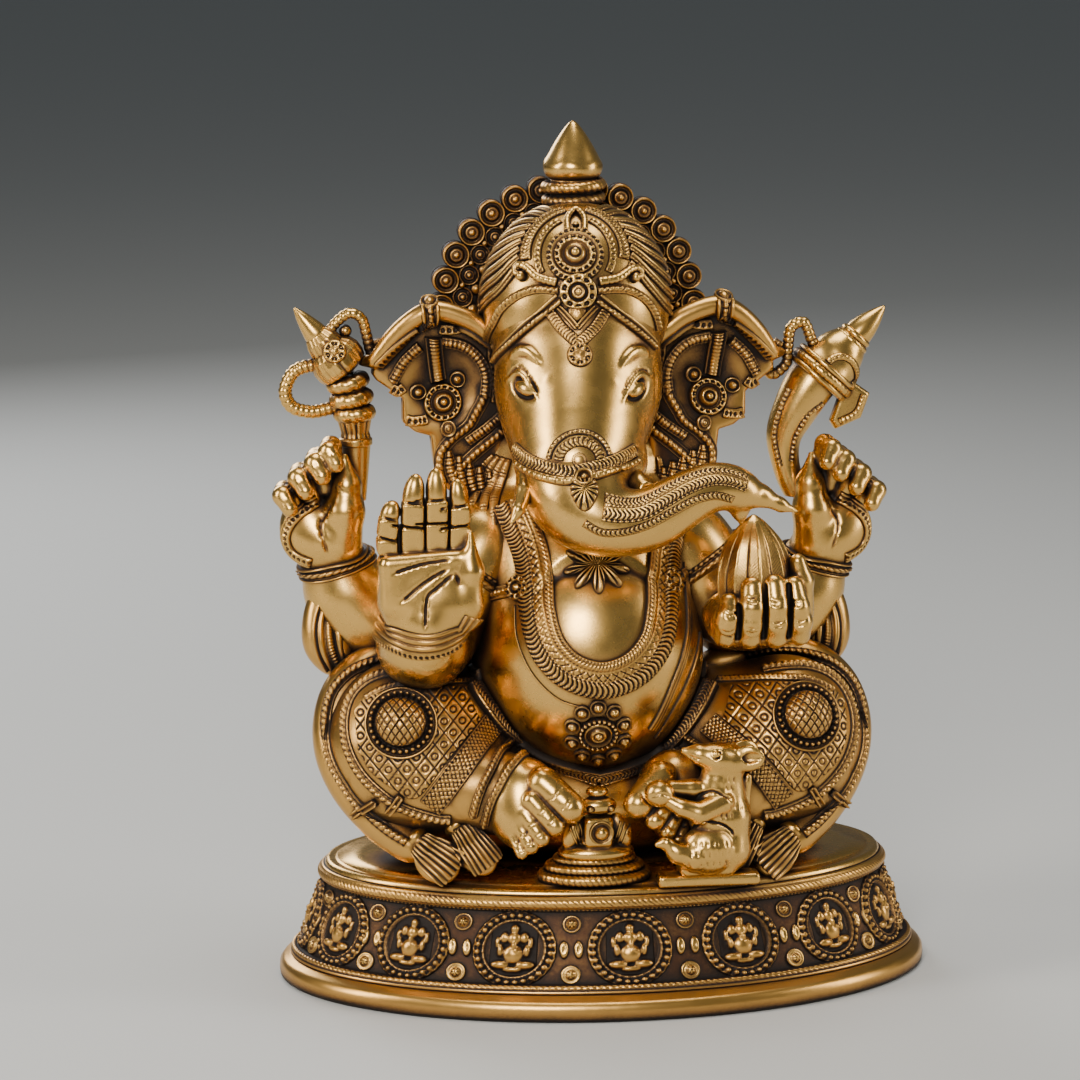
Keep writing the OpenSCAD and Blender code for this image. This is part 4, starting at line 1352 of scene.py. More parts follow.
def turban_wraps():
    heap = Heap()
    for k in range(9):
        start, edge = radians(112 + 10 * k), radians(122 + 8.2 * k)
        first = vec(-14.9 + 16.4 * cos(start), 225.2 + 13.2 * sin(start))
        last = vec(CROWN_MIDDLE + 27.4 * cos(edge), 213.5 + 29.2 * sin(edge))
        middle = (first + last) / 2 + 1.2 * vec(cos(start + 0.6), sin(start + 0.6))
        rim_z = 206.5 + 28.6 * sin(edge)
        for side, points in both_sides([first, middle, last], CROWN_MIDDLE):
            seen = list(front(crown, points))
            round_back = [on_crown(angle, rim_z - drop, side)
                          for angle, drop in ((118, 1.6), (150, 4.0), (180, 5.4))]
            lanes = [(1.2, 1.3, rope(1.3, 1.1)), (0.3, 0.2, flat()), (2.0, 1.1, flat(0.8))]
            lay(heap, seen + round_back, lanes if side < 0 else lanes[::-1], crown,
                narrow=lambda q: 0.75 + 0.35 * q)
    hem = [on_crown(a, 193 - 2 * sin(radians(a)), s)
           for s, a in ((-1, 80), (-1, 110), (-1, 145), (1, 180), (1, 145), (1, 110), (1, 80))]
    lay(heap, hem, [(2.0, 1.2, rope(1.6, 1.1)), (0.8, 0.5, flat())], crown)
    finish_piece(heap.cast("turban_wraps"), "crown_cap", "polished_brass")


def crown_ornament():
    jewels, flap = Heap(), Heap()
    hub, small = (-14.9, 225.2), (-14.0, 214.4)
    dotted = [(0.35, 0.8, flat()), (1.9, 0.8, dots(1.7, 0.5)), (0.35, 0.8, flat())]
    feather = [(0.4, 1.0, flat()), (2.7, 1.1, comb(1.15, 0.9)), (0.4, 1.0, flat())]
    for _, points in both_sides(arc(hub, 11.0, 208, 112), hub[0]):
        chase(jewels, crown, points, dotted, fade=1.0)
    for _, points in both_sides(arc(hub, 14.3, 186, 100, 0.93), hub[0]):
        chase(jewels, crown, points, feather, fade=1.2)
    loop = seat(crown, [(-17.0, 231.8), (-17.0, 235.6), (-14.7, 237.8), (-12.4, 235.6), (-12.2, 231.8)],
                1.0)
    cord(jewels, loop, 1.0, 1.6, "rings", up=(0, -1, 0))
    rosette(jewels, crown, (-14.7, 234.0), 1.1, [(1.1, 1.4, knob)])
    rosette(jewels, brow, hub, 8.8, [(0.3, 1.3, flat(0.9)), (1.6, 1.9, dots(1 / 28, 0.6)),
                                     (0.5, 2.2, flat(0.9)), (0.4, 1.0, flat()),
                                     (1.6, 2.3, dots(1 / 17, 0.55)),
                                     (0.5, 2.6, flat(0.9)), (0.5, 1.2, flat()), (3.4, 4.2, eyelet)])
    rosette(jewels, brow, small, 5.4, [(0.5, 2.4, flat(0.9)), (1.8, 2.3, dots(1 / 10, 0.55)),
                                       (0.4, 2.6, flat(0.9)), (0.4, 1.2, flat()), (2.3, 3.6, eyelet)])
    curls = [[(-20.0, 217.2), (-25.4, 218.8), (-28.8, 221.8), (-31.2, 222.4), (-32.0, 220.6),
              (-30.3, 219.3)],
             [(-8.2, 217.2), (-2.6, 218.2), (1.2, 220.7), (3.4, 220.7), (4.0, 218.9), (2.3, 218.3)]]
    for points in curls:
        path = seat(crown, points, 0.9)
        size = np.linspace(1.25, 0.8, len(path))[:, None]
        cord(jewels, np.hstack([path, size]), 1.15, 1.5, "rings", up=(0, -1, 0))
        rosette(jewels, crown, points[-1], 1.7, [(1.7, 2.6, knob)])

    upper = [[(-19.6, 215.0), (-25.8, 215.6), (-31.3, 214.0), (-36.2, 210.2), (-38.9, 205.4),
              (-40.2, 200.5)],
             [(-8.5, 214.8), (-2.9, 215.2), (1.3, 214.6), (5.5, 212.1), (8.2, 208.4), (9.6, 203.4)]]
    lower = [[(-19.4, 212.8), (-24.4, 208.4), (-29.9, 204.0), (-34.8, 199.3), (-38.2, 195.2)],
             [(-8.2, 212.6), (-1.5, 207.2), (4.1, 202.8), (8.6, 198.2)]]
    for points in upper:
        chase(jewels, brow, points, ROPE_BAND)
    low_lanes = [(1.9, 2.0, rope(1.6, 1.1)), (0.4, 0.2, flat()), (1.3, 1.2, flat(0.8))]
    chase(jewels, brow, lower[0], low_lanes)
    chase(jewels, brow, lower[1], low_lanes[::-1])
    finish_piece(jewels.cast("crown_jewels"), "crown_jewels", "polished_brass")

    strip = [(0.35, 0.9, flat()), (3.0, 1.0, comb(1.05, 0.7)), (0.35, 0.9, flat())]
    chase(flap, brow, [(-22.2, 208.6), (-18.6, 203.8), (-13.7, 199.2)], strip)
    chase(flap, brow, [(-6.0, 208.4), (-9.2, 203.7), (-13.9, 199.2)], strip)
    inner = [(0.9, 1.3, flat(0.8)), (0.3, 0.3, flat()), (0.9, 1.3, flat(0.8))]
    chase(flap, brow, [(-19.6, 210.2), (-14.2, 203.9)], inner)
    chase(flap, brow, [(-8.8, 210.0), (-14.2, 203.9)], inner)
    rosette(flap, brow, (-14.3, 208.8), 3.0, [(3.0, 1.5, hatched(3.0, 0.8))], tall=1.1)
    rosette(flap, brow, (-13.4, 196.0), 3.9, [(0.4, 1.5, flat(0.9)), (1.9, 1.3, dots(1 / 6, 0.6)),
                                              (1.6, 1.5, eyelet)])
    finish_piece(flap.cast("forehead_pendant"), "forehead_pendant")


def halo():
    middle = vec(-8.5, 22.5, 200)
    rim = [(middle[0] + 39 * cos(a), middle[2] + 39 * sin(a))
           for a in np.linspace(radians(-21), radians(201), 90)]
    plate = Clay((-52, 14, 182), (36, 30, 244), 0.7)
    plate.add(sheet(rim, lambda x, z: 22.8 + 0 * x * z, 4.6, 0.9), 0)
    finish_piece(plate.cast("halo_plate"), "halo_plate")

    def around(angle, radius, y=20.2):
        return vec(middle[0] + radius * cos(angle), y, middle[2] + radius * sin(angle))
    heap = Heap()
    for k in range(17):
        turn = radians(-8 + 196 * k / 16)
        boss(heap, around(turn, 38.9), 4.2, [(1.0, 2.8, flat(0.9)), (0.6, 1.2, flat()), (2.6, 3.7, eyelet)],
             out=(0, -1, 0))
        boss(heap, around(turn, 38.9, 24.9), 3.9, [(3.9, 1.6, knob)], out=(0, 1, 0), step=0.6)
        if k < 16:
            boss(heap, around(turn + radians(6.1), 32.8), 3.3,
                 [(0.8, 2.6, flat(0.9)), (0.5, 1.2, flat()), (2.0, 3.4, eyelet)], out=(0, -1, 0))
        for radius, size in ((33.8, 1.4), (29.4, 2.1)):
            boss(heap, around(turn, radius), size, [(size, 3.2, knob)], out=(0, -1, 0))
    for radius, size in ((31.2, 1.0), (27.2, 1.5)):
        path = [around(radians(a), radius, 19.8) for a in np.linspace(-8, 188, 30)]
        cord(heap, path, size, 1.5, "rings")
    for y, radius in ((25.3, 34.2), (25.3, 30.5)):
        cord(heap, [around(radians(a), radius, y) for a in np.linspace(-14, 194, 30)], 1.1, 1.8, "rope")
    finish_piece(heap.cast("halo_bosses"), "halo_bosses")


def finial():
    def facet(s, z):
        line = 6.6 + 0.7 * np.cos(2 * pi * 5 * s)
        return -0.4 / (1 + np.exp(-(z - line) / 0.4)), 1 + 0 * s * z
    bud = Heap()
    turned(bud, (-8.6, 8, 241.6), (0, 0, 1),
           [(4.8, 0), (7.6, 1.4), (8.9, 3.8), (8.7, 6.4), (6.6, 10.6), (4.1, 14.6), (1.9, 17.4),
            (0.7, 18.25), (0.05, 18.4)], cut=facet, smooth=True)
    finish_piece(bud.cast("finial"), "finial", "polished_brass")
    neck = Heap()
    turned(neck, (-8.6, 7, 229), (0, 0, 1), [(8.4, 0), (7.9, 5), (7.0, 8), (7.0, 13.6)])
    for z, major in ((240.6, 8.2), (236.6, 8.0)):
        ring = [(-8.6 + major * cos(a), 7 + major * sin(a), z + 0.06 * major * cos(a))
                for a in np.linspace(0, 2 * pi, 17)[:-1]]
        cord(neck, ring, 1.75, 1.9, "rope", loop=True, sides=16)
    finish_piece(neck.cast("finial_collars"), "finial_collars")


turban_wraps()
crown_ornament()
halo()
finial()


# ---------------------------------------------------------------- face and trunk chasing

def face_work():
    heap = Heap()
    chase(heap, face, [(-32.2, 168.8), (-28.6, 165.4), (-23.4, 163.0), (-15.8, 161.2), (-7.4, 163.0),
                       (-1.4, 165.2), (2.6, 167.6)],
          [(0.5, 1.3, flat()), (3.0, 1.5, comb(1.25, -0.7, 0.85)), (0.5, 1.3, flat())])
    chase(heap, face, [(-31.6, 164.8), (-26.8, 161.2), (-21.7, 159.3), (-15.8, 158.6), (-8.2, 160.0),
                       (-1.4, 162.3), (3.4, 164.4)],
          [(2.7, 1.9,
            lambda s, t: dome(t * 0.98) * (1 - 0.3 * stroke(s / 2.3, 0.12) * (np.abs(t) < 0.55)))])
    hub = (-13.5, 164.2)
    border = [(0.35, 1.0, flat()), (1.4, 0.9, dots(1.3, 0.5)), (0.35, 1.0, flat())]
    chase(heap, face, arc(hub, 9.2, 172, 8, 0.98, 13), border)
    chase(heap, face, arc(hub, 6.2, 172, 8, 0.98, 11), [(3.2, 0.9, comb(1.3, 0.6, 0.85))])
    rosette(heap, face, (hub[0], hub[1] + 0.6), 2.3, [(0.5, 0.5, flat(0.9)), (1.8, 0.4, knob)])
    shell = dict(shape=lambda a: 0.86 + 0.34 * np.clip(-np.sin(a), 0, 1) ** 6, tall=1.1)
    rosette(heap, face, (-12.0, 155.8), 4.9,
            [(4.9, 2.4, lambda s, t: (dome(np.clip((1 - t) / 2, 0, 1)) ** 0.5
                                      * (1 - 0.55 * stroke(s * 14, 0.3))))], **shell)
    rosette(heap, face, (-12.3, 159.2), 2.6, [(0.9, 3.0, flat(0.9)), (0.5, 1.8, flat()), (1.2, 3.0, knob)])
    finish_piece(heap.cast("nose_band"), "head", "polished_brass")

    rows = Heap()
    lanes = [(1.0, 0.7, bead(1.5)), (2.4, 1.1, comb(1.3, 0.9, 0.85)), (0.4, 1.1, flat()),
             (0.35, 0.2, flat()), (0.4, 1.1, flat()), (2.6, 1.1, comb(1.3, -0.9, 0.85)),
             (1.0, 0.7, bead(1.5))]
    chase(rows, trunk, [(-7.6, 152.6), (-2, 151.6), (3.6, 152.0), (10.4, 155.2), (17, 158.6), (23.5, 160.6),
                        (29.6, 160.4), (35.4, 158.0)],
          lanes, y=-46, side=0.3, fade=2.0, narrow=lambda q: 1.12 - 0.42 * q, step=0.3)
    chase(rows, trunk, [(-13.4, 147.6), (-8, 144.6), (-1, 144.6), (6, 146.6), (13, 150.2), (20, 153.6),
                        (26, 154.6), (31, 153.2)],
          [(2.1, 0.9, comb(1.4, 1.0, 0.85)), (0.5, 0.3, flat())], y=-46, fade=2.0)
    finish_piece(rows.cast("trunk_chasing"), "trunk", "polished_brass")


face_work()


# ---------------------------------------------------------------- ears

def ear_ornament():
    heap = Heap()

    def strip(points, lanes, y=-2.0, **options):
        lay(heap, [(p[0], y, p[1]) for p in points], lanes, ear, **options)

    ropes = [(0.7, 0.9, flat(0.9)), (2.6, 2.1, rope(1.9, 0.7)), (0.7, 0.9, flat(0.9))]
    dotted = [(0.5, 1.3, flat(0.8)), (2.3, 1.5, dots(1.8, 0.55)), (0.6, 1.4, flat(0.8))]
    ribbed = [(0.5, 1.5, flat(0.9)), (2.4, 2.0, ribs(1.25, 0.6)), (0.5, 1.5, flat(0.9))]
    strip([(-33.0, 176.5), (-33.0, 183), (-34.0, 189), (-37.2, 193.6), (-42.4, 196.8), (-50.2, 198.2)],
          dotted)
    strip([(-55.6, 197.2), (-62.7, 191.2), (-67.6, 185.2)], dotted)
    strip([(-37.0, 178.5), (-36.8, 184.5), (-39.2, 189.4), (-43.6, 192.8), (-49.4, 194.0)], ribbed,
          base=0.6)
    strip([(-55.4, 193.0), (-60.4, 188.6), (-64.4, 183.0)], ribbed, base=0.6)
    strip([(-51.9, 196.0), (-51.2, 190), (-50.4, 183.2)],
          [(0.7, 2.2, flat(0.9)), (4.0, 2.8, ribs(1.0, 0.5)), (0.7, 2.2, flat(0.9))], base=0.8)
    strip([(-53.2, 206.6), (-53.0, 201), (-52.8, 196.0)],
          [(1.5, 1.9, flat(0.95)), (0.3, 0.6, flat()), (2.1, 1.9, ribs(1.2, 0.6)), (0.3, 0.6, flat()),
           (1.5, 1.9, flat(0.95))], y=-4)
    boss(heap, (-53.2, -1, 206.6), 3.0, [(1.0, 1.6, flat(0.9)), (2.0, 2.4, knob)], out=(-0.05, -0.35, 1),
         tall=1.4)
    strip([(-53.6, 172.6), (-57.6, 171.0), (-61.0, 171.4)], dotted)
    strip([(-60.0, 181.4), (-62.6, 180.0), (-65.0, 180.6)], dotted)
    strip([(-35.4, 181.4), (-38.6, 175.4), (-41.0, 169.9), (-46.0, 166.0), (-49.4, 162.2), (-50.4, 157.4),
           (-49.6, 151)], ropes)
    strip([(-30.4, 168.0), (-35.4, 164.2), (-40.5, 160.0), (-46, 154.6)], ropes)
    strip([(-31, 172.6), (-36, 168.6), (-42.0, 164.6)], ribbed)
    for k in range(5):
        top = vec(-47.6 + 3.1 * k, 162.4 - 1.7 * k)
        strip([top, top + vec(0.7, -6.4), top + vec(3.0, -12.6)],
              [(0.5, 1.2, flat()), (3.4, 2.2, ribs(1.2, 0.55)), (0.5, 1.2, flat())],
              fade=2.0, narrow=lambda q: 0.35 + 0.65 * np.sin(pi * np.clip(q, 0.08, 0.96)))
    jewels = Heap()
    spots = [(-49.0, 176.8, 6.2, [(0.5, 1.0, flat(0.9)), (1.5, 1.3, dots(1 / 15, 0.55)), (0.5, 0.5, flat()),
                                  (3.7, 4.4, eyelet)]),
             (-44.6, 183.4, 2.7, button(2.7, 2.2)), (-56.2, 180.0, 2.6, button(2.6, 2.2)),
             (-47.7, 168.8, 2.5, button(2.5, 2.2))]
    for x, z, radius, zones in spots:
        boss(jewels, (x, -2, z), radius, [(w, rise + 1.4, cut) for w, rise, cut in zones], ear, sink=1.6)
    work = finish_piece(heap.cast("ear_work_right"), "ear_right")
    gems = finish_piece(jewels.cast("ear_jewels_right"), "ear_jewels", "polished_brass")
    twin(work, "ear_work_left", "ear_left", "antiqued_brass", **EAR_TWIN)
    twin(gems, "ear_jewels_left", "ear_jewels", "polished_brass", **EAR_TWIN)

    locks = Heap()
    for side, middle in ((-1, 0), (1, -7.6)):
        for k, (x, z) in enumerate(((-47, 150.5), (-45, 146), (-41.5, 142.5), (-38, 139), (-34.6, 138.5))):
            start = vec(-36.5 + 1.6 * k, 162.5 - 0.5 * k)
            mid = (start + vec(x, z)) / 2 + vec(-1.5, 1.0)
            points = [start, mid, vec(x, z)]
            if side > 0:
                points = [vec(2 * middle - p[0], p[1]) for p in points]
            chase(locks, torso, points, [(0.4, 0.9, flat()), (2.0, 1.4, ribs(0.95, 0.45)),
                                         (0.4, 0.9, flat())], y=-8, fade=2.2,
                  narrow=lambda q: 0.7 + 0.6 * np.sin(pi * np.clip(q, 0.05, 0.97)))
    finish_piece(locks.cast("shoulder_locks"), "torso", "antiqued_brass")


ear_ornament()


# ---------------------------------------------------------------- garments

ROPE_EDGES = [(0.6, 0.9, flat(0.9)), (2.5, 2.2, rope(1.9, 0.8)), (0.6, 0.9, flat(0.9))]
lap = Group(torso, leg, Mirrored(leg, **LEG_TWIN))


def garland():
    heap = Heap()
    lanes = [(0.45, 0.8, flat()), (2.9, 1.4, rope(1.35, 1.7)), (0.4, 0.7, flat()), (2.2, 0.9, crosses(2.7)),
             (0.4, 0.7, flat()), (4.7, 1.5, comb(1.3, -0.9, 0.75)), (0.45, 0.8, flat())]
    chase(heap, torso, [(-33.6, 152.5), (-29.6, 143), (-27.2, 135.0), (-26.4, 127.5), (-25.7, 119.5),
                        (-22.8, 109.2), (-16.4, 101.8), (-6.8, 98.6), (2.6, 101.4), (9.0, 109.0),
                        (11.0, 119.5), (11.2, 128), (11.8, 137), (13.6, 146)],
          lanes, base=1.0)
    chase(heap, torso, [(-32.6, 122), (-32.0, 112), (-27.6, 101.5), (-20, 93.5), (-12, 90.4)],
          [(0.5, 0.5, flat())])
    finish_piece(heap.cast("garland"), "long_necklace")

    pins = Heap()
    for x, z, hand, far in ((-31.2, 127.0, (-45.5, 122.6), (-34, 126.4)),
                            (13.6, 127.6, (27.5, 130.8), (17, 129.2))):
        rosette(pins, torso, (x, z), 4.1, [(0.4, 3.0, flat(0.9)), (1.5, 2.9, dots(1 / 9, 0.55)),
                                           (0.3, 3.1, flat(0.9)), (0.3, 2.2, flat()), (1.6, 3.6, eyelet)],
                sink=1.5)
        chase(pins, torso, [far, hand], [(0.8, 1.0, flat(0.8)), (2.6, 1.4, ribs(1.6, 0.3)),
                                         (0.8, 1.0, flat(0.8))])
    finish_piece(pins.cast("brooches"), "brooches", "polished_brass")

    leaf = Heap()
    spiky = dict(shape=lambda a: 0.60 + 0.42 * np.abs(np.cos(4.5 * (a + pi / 2))) ** 1.6, tall=0.92)
    rosette(leaf, torso, (-8.4, 133.0), 10.0, [(10.0, 3.0, lambda s, t: (0.25 + 0.75 * dome((1 - t) / 2))
                                               * (1 - 0.5 * stroke(s * 27, 0.34)))], step=0.3, **spiky)
    finish_piece(leaf.cast("leaf_pendant"), "leaf_pendant", "polished_brass")

    thread = Heap()
    chase(thread, torso, [(15.6, 147), (17.6, 136), (18.6, 124), (19.2, 114), (17.8, 105), (14.2, 95),
                          (8.2, 83)],
          [(3.0, 1.0, reeds(3))], narrow=lambda q: 0.8 + 0.3 * q)
    chase(thread, torso, [(22.6, 112), (20.4, 101), (15.4, 90), (9.4, 80.5)], [(1.6, 0.8, reeds(2))])
    finish_piece(thread.cast("sacred_thread"), "sacred_thread")


def belt():
    heap = Heap()
    lanes = [(1.2, 1.0, rope(1.3, 1.0)), (3.0, 1.2, comb(1.15, 0.9, 0.7)), (1.2, 1.0, rope(1.3, 1.0))]
    right = [(-45.0, 98.0), (-42.2, 93.5), (-35.6, 85.2), (-28.6, 78.6), (-21.4, 74.4), (-14.0, 71.4),
             (-7.6, 68.6)]
    left = [(26.4, 96.0), (22.5, 89.2), (15.8, 80.6), (8.4, 75.0), (0.8, 71.2), (-7.8, 68.6)]
    for points in (right, left):
        chase(heap, lap, points, lanes, base=1.5, sink=1.5)
    around_back = [(-6 + 35 * cos(a), -5.5 + 33.5 * sin(a), 94 - 4 * sin(a))
                   for a in np.radians(np.arange(196, -20, -12))]
    lay(heap, around_back, lanes, torso, base=0.7)
    finish_piece(heap.cast("waist_belt"), "waist_belt")
    flower = Heap()
    for k in range(10):
        turn = 2 * pi * (k + 0.5) / 10
        rosette(flower, torso, (-7.8 + 8.0 * cos(turn), 82.6 + 7.8 * sin(turn)), 2.6, button(2.6, 2.6))
    rosette(flower, torso, (-7.8, 82.6), 5.9, [(1.5, 2.6, bead(1 / 22)), (0.4, 1.2, flat()),
                                               (0.6, 2.4, flat(0.9)), (0.4, 1.4, flat()),
                                               (3.0, 3.2, eyelet)])
    finish_piece(flower.cast("belt_rosette"), "belt_rosette", "polished_brass")


def leg_work():
    """Cloth, knee disc, anklets, shawl and tassels of the right leg, each with its twin on the left."""
    cloth, disc, rings, edge, tufts = Heap(), Heap(), Heap(), Heap(), Heap()
    drape(cloth, leg, [(-80.4, 92), (-76.5, 96.0), (-69, 97.6), (-62, 98.2), (-54, 98.2), (-47.4, 97.6)],
          [(-79.2, 80), (-75.4, 73.0), (-69.0, 67.6), (-61.8, 64.6), (-52.4, 76), (-43.0, 87.6)], lattice)
    chase(cloth, leg, [(-39.4, 86.4), (-48.6, 73.6), (-58.0, 61.6)],
          [(0.6, 1.2, flat(0.9)), (6.4, 0.9, net(6.4, 1.55)), (0.6, 1.2, flat(0.9))])
    chase(cloth, leg, [(-45.0, 99.6), (-54, 99.8), (-62.3, 99.6), (-70.2, 98.6), (-77, 95.4)],
          [(0.5, 0.8, flat(0.9)), (1.8, 1.4, rope(1.5, 0.9)), (0.5, 0.8, flat(0.9))])
    rosette(disc, leg, (-66.6, 87.6), 11.2, [(1.1, 2.0, flat(0.9)), (0.4, 0.9, flat()),
                                             (1.9, 2.8, bead(1 / 30)), (0.4, 0.9, flat()),
                                             (7.4, 6.2, hatched(7.4, 2.1, 0.7))], sink=2.0, step=0.28)
    shin = Group(leg, foot)
    for points in ([(-31.0, 84.5), (-34.7, 80.2), (-39.2, 73.3), (-42.6, 66.6), (-45.2, 58.6)],
                   [(-27.4, 80.0), (-30.6, 76.0), (-35.6, 70.0), (-39.2, 63.2), (-41.8, 55.8)]):
        chase(rings, shin, points, [(0.5, 0.9, flat(0.9)), (1.9, 1.8, rope(1.5, 0.7)),
                                    (0.5, 0.9, flat(0.9))], base=0.3)
    wrap = Group(shawl, leg)
    outer = [(-56, 103.4), (-64, 104.2), (-72, 103.4), (-79.8, 100.4), (-85.2, 94.6), (-87.4, 87),
             (-86.8, 78.4), (-83.6, 68.4), (-77.4, 59.2), (-70, 52.0), (-63.6, 47.4)]
    inner = [(-56, 99.8), (-63, 100.6), (-70, 100.2), (-76, 97.8), (-80.0, 93.6), (-82.0, 87.6),
             (-81.8, 79.9), (-78.3, 71.2), (-71.6, 63.6), (-64.1, 58.6), (-55, 55.6), (-50.6, 55.0)]
    chase(edge, wrap, outer, ROPE_EDGES, y=-24)
    chase(edge, wrap, inner, ROPE_EDGES, y=-28)
    for a, b in (((-79.6, 57.4), (-73.0, 61.4)), ((-69.2, 58.2), (-65.6, 62.8))):
        chase(edge, wrap, [a, b], [(1.0, 1.9, flat(0.9)), (0.5, 0.9, flat()), (1.0, 1.9, flat(0.9))], y=-28,
              base=0.3)
    for path, wide in (([(-60.8, 49.6), (-56.0, 45.4), (-50.2, 40.6)], 14.4),
                       ([(-48.6, 54.6), (-44.4, 48.4), (-39.8, 41.8)], 12.0)):
        chase(tufts, tassel, path, [(wide, 2.0, reeds(8, 0.85))], y=-34,
              narrow=lambda q: 0.5 + 0.5 * np.sqrt(q), sink=1.2)
    for name, heap, node, slot in (("leg_cloth", cloth, "leg", "antiqued_brass"),
                                   ("knee_disc", disc, "knee_discs", "antiqued_brass"),
                                   ("anklets", rings, "anklets", "antiqued_brass"),
                                   ("shawl_ropes", edge, "shawl", "antiqued_brass"),
                                   ("tassel_pleats", tufts, "shawl_tassels", "antiqued_brass")):
        pair = node in ("leg", "shawl")
        made = finish_piece(heap.cast(name + "_right"), node + "_right" if pair else node, slot)
        twin(made, name + "_left", node + "_left" if pair else node, slot, **LEG_TWIN)
    roll = finish_piece(shawl.cast("shawl_roll_right"), "shawl_right")
    twin(roll, "shawl_roll_left", "shawl_left", "antiqued_brass", **LEG_TWIN)
    tuft = finish_piece(tassel.cast("tassels_right"), "shawl_tassels")
    twin(tuft, "tassels_left", "shawl_tassels", "antiqued_brass", **LEG_TWIN)


shawl, tassel = shawl_clay(), tassel_clay()
garland()
belt()
leg_work()


# ---------------------------------------------------------------- offering stand and the mouse's things

def offering():
    clay = Clay((-26, -54, 38), (10, -28, 72), 0.45)
    clay.add(egg((-8.3, -38, 46.4), (11.5, 6.4, 3.6)))
    clay.add(brick((-8.3, -41, 53.4), (4.4, 3.4, 4.6), 1.6), 1.0)
    for side in (-1, 1):
        clay.add(egg((-8.3 + side * 7.2, -40, 53.2), (5.6, 3.0, 2.6),
                     turned_axes((-0.45 * side, 0, 1), (0, -1, 0))), 0.4)
    clay.add(egg((-8.2, -41, 61.2), (5.6, 3.8, 2.9)), 0.4)
    clay.add(egg((-8.5, -41, 65.4), (3.4, 3.0, 1.7)), 0.4)
    finish_piece(clay.cast("offering_stand"), "offering_stand", "polished_brass")
    heap = Heap()
    rosette(heap, clay, (-8.0, 54.0), 3.7, [(0.8, 1.1, flat(0.9)), (0.6, 0.3, flat()), (2.3, 2.6, knob)],
            y=-46)
    for x in (-11.2, -5.0):
        rosette(heap, clay, (x, 61.2), 1.4, [(0.4, 0.8, flat(0.9)), (1.0, 1.0, knob)], y=-46)
    for side in (-1, 1):
        for k in range(3):
            x = -8.2 + side * (5.4 + 1.3 * k)
            chase(heap, clay, [(x + side * 0.9, 57.0 - 0.5 * k), (x, 53.2), (x - side * 1.2, 50)],
                  [(0.8, 0.6, flat(0.9))], y=-44, fade=0.8)
    finish_piece(heap.cast("stand_bosses"), "offering_stand", "polished_brass")

    foot_rings = Heap()
    for z, wide, deep, size in ((38.9, 15.6, 9.4, 1.7), (41.6, 13.6, 8.0, 1.5), (44.0, 11.4, 6.8, 1.2)):
        ring = [(-8.5 + wide * cos(a), -36 + deep * sin(a), z) for a in np.linspace(0, 2 * pi, 25)[:-1]]
        cord(foot_rings, ring, size, 1.7, "rope", loop=True, sides=14)
        turned(foot_rings, (-8.5, -36, z - 1.6), (0, 0, 1), [(wide - 0.6, 0), (wide - 0.6, 2.9)],
               squash=deep / wide)
    finish_piece(foot_rings.cast("stand_ring"), "stand_ring")

    sweet = Clay((0, -60, 58), (18, -40, 76), 0.4)
    sweet.add(egg((8.6, -50.6, 66.6), (4.5, 3.9, 4.1)))
    sweet.groove([(5, -54, 66), (8.6, -56, 67.6), (12, -54, 66)], 0.7, 0.4)
    finish_piece(sweet.cast("mouse_sweet"), "mouse_sweet", "polished_brass")
    pad = Clay((4, -56, 32), (44, -34, 44), 0.5)
    pad.add(brick((24.4, -44.8, 38.6), (15.4, 3.9, 1.9), 1.3))
    pad.cut(egg((24, -52, 36.4), (22, 3.4, 3.0)), 1)
    finish_piece(pad.cast("mouse_plate"), "mouse_plate", "polished_brass")


offering()


# ---------------------------------------------------------------- things held, and rings on the arms

def ring(heap, centre, axis, major, minor, pitch=None, kind="rope", sides=14):
    """A closed cord round an axis."""
    along, side, above = turned_axes(axis, (0, 1, 0))
    angle = 2 * pi * np.arange(24)[:, None] / 24
    path = vec(centre) + major * (np.cos(angle) * side + np.sin(angle) * above)
    cord(heap, path, minor, pitch, kind, loop=True, up=along, sides=sides)


def flutes(count, deep):
    """Upright flutes round a turned form."""
    def cut(s, z):
        value = dome(s * count % 1 * 2 - 1) + 0 * z
        return -deep * (1 - value), value
    return cut


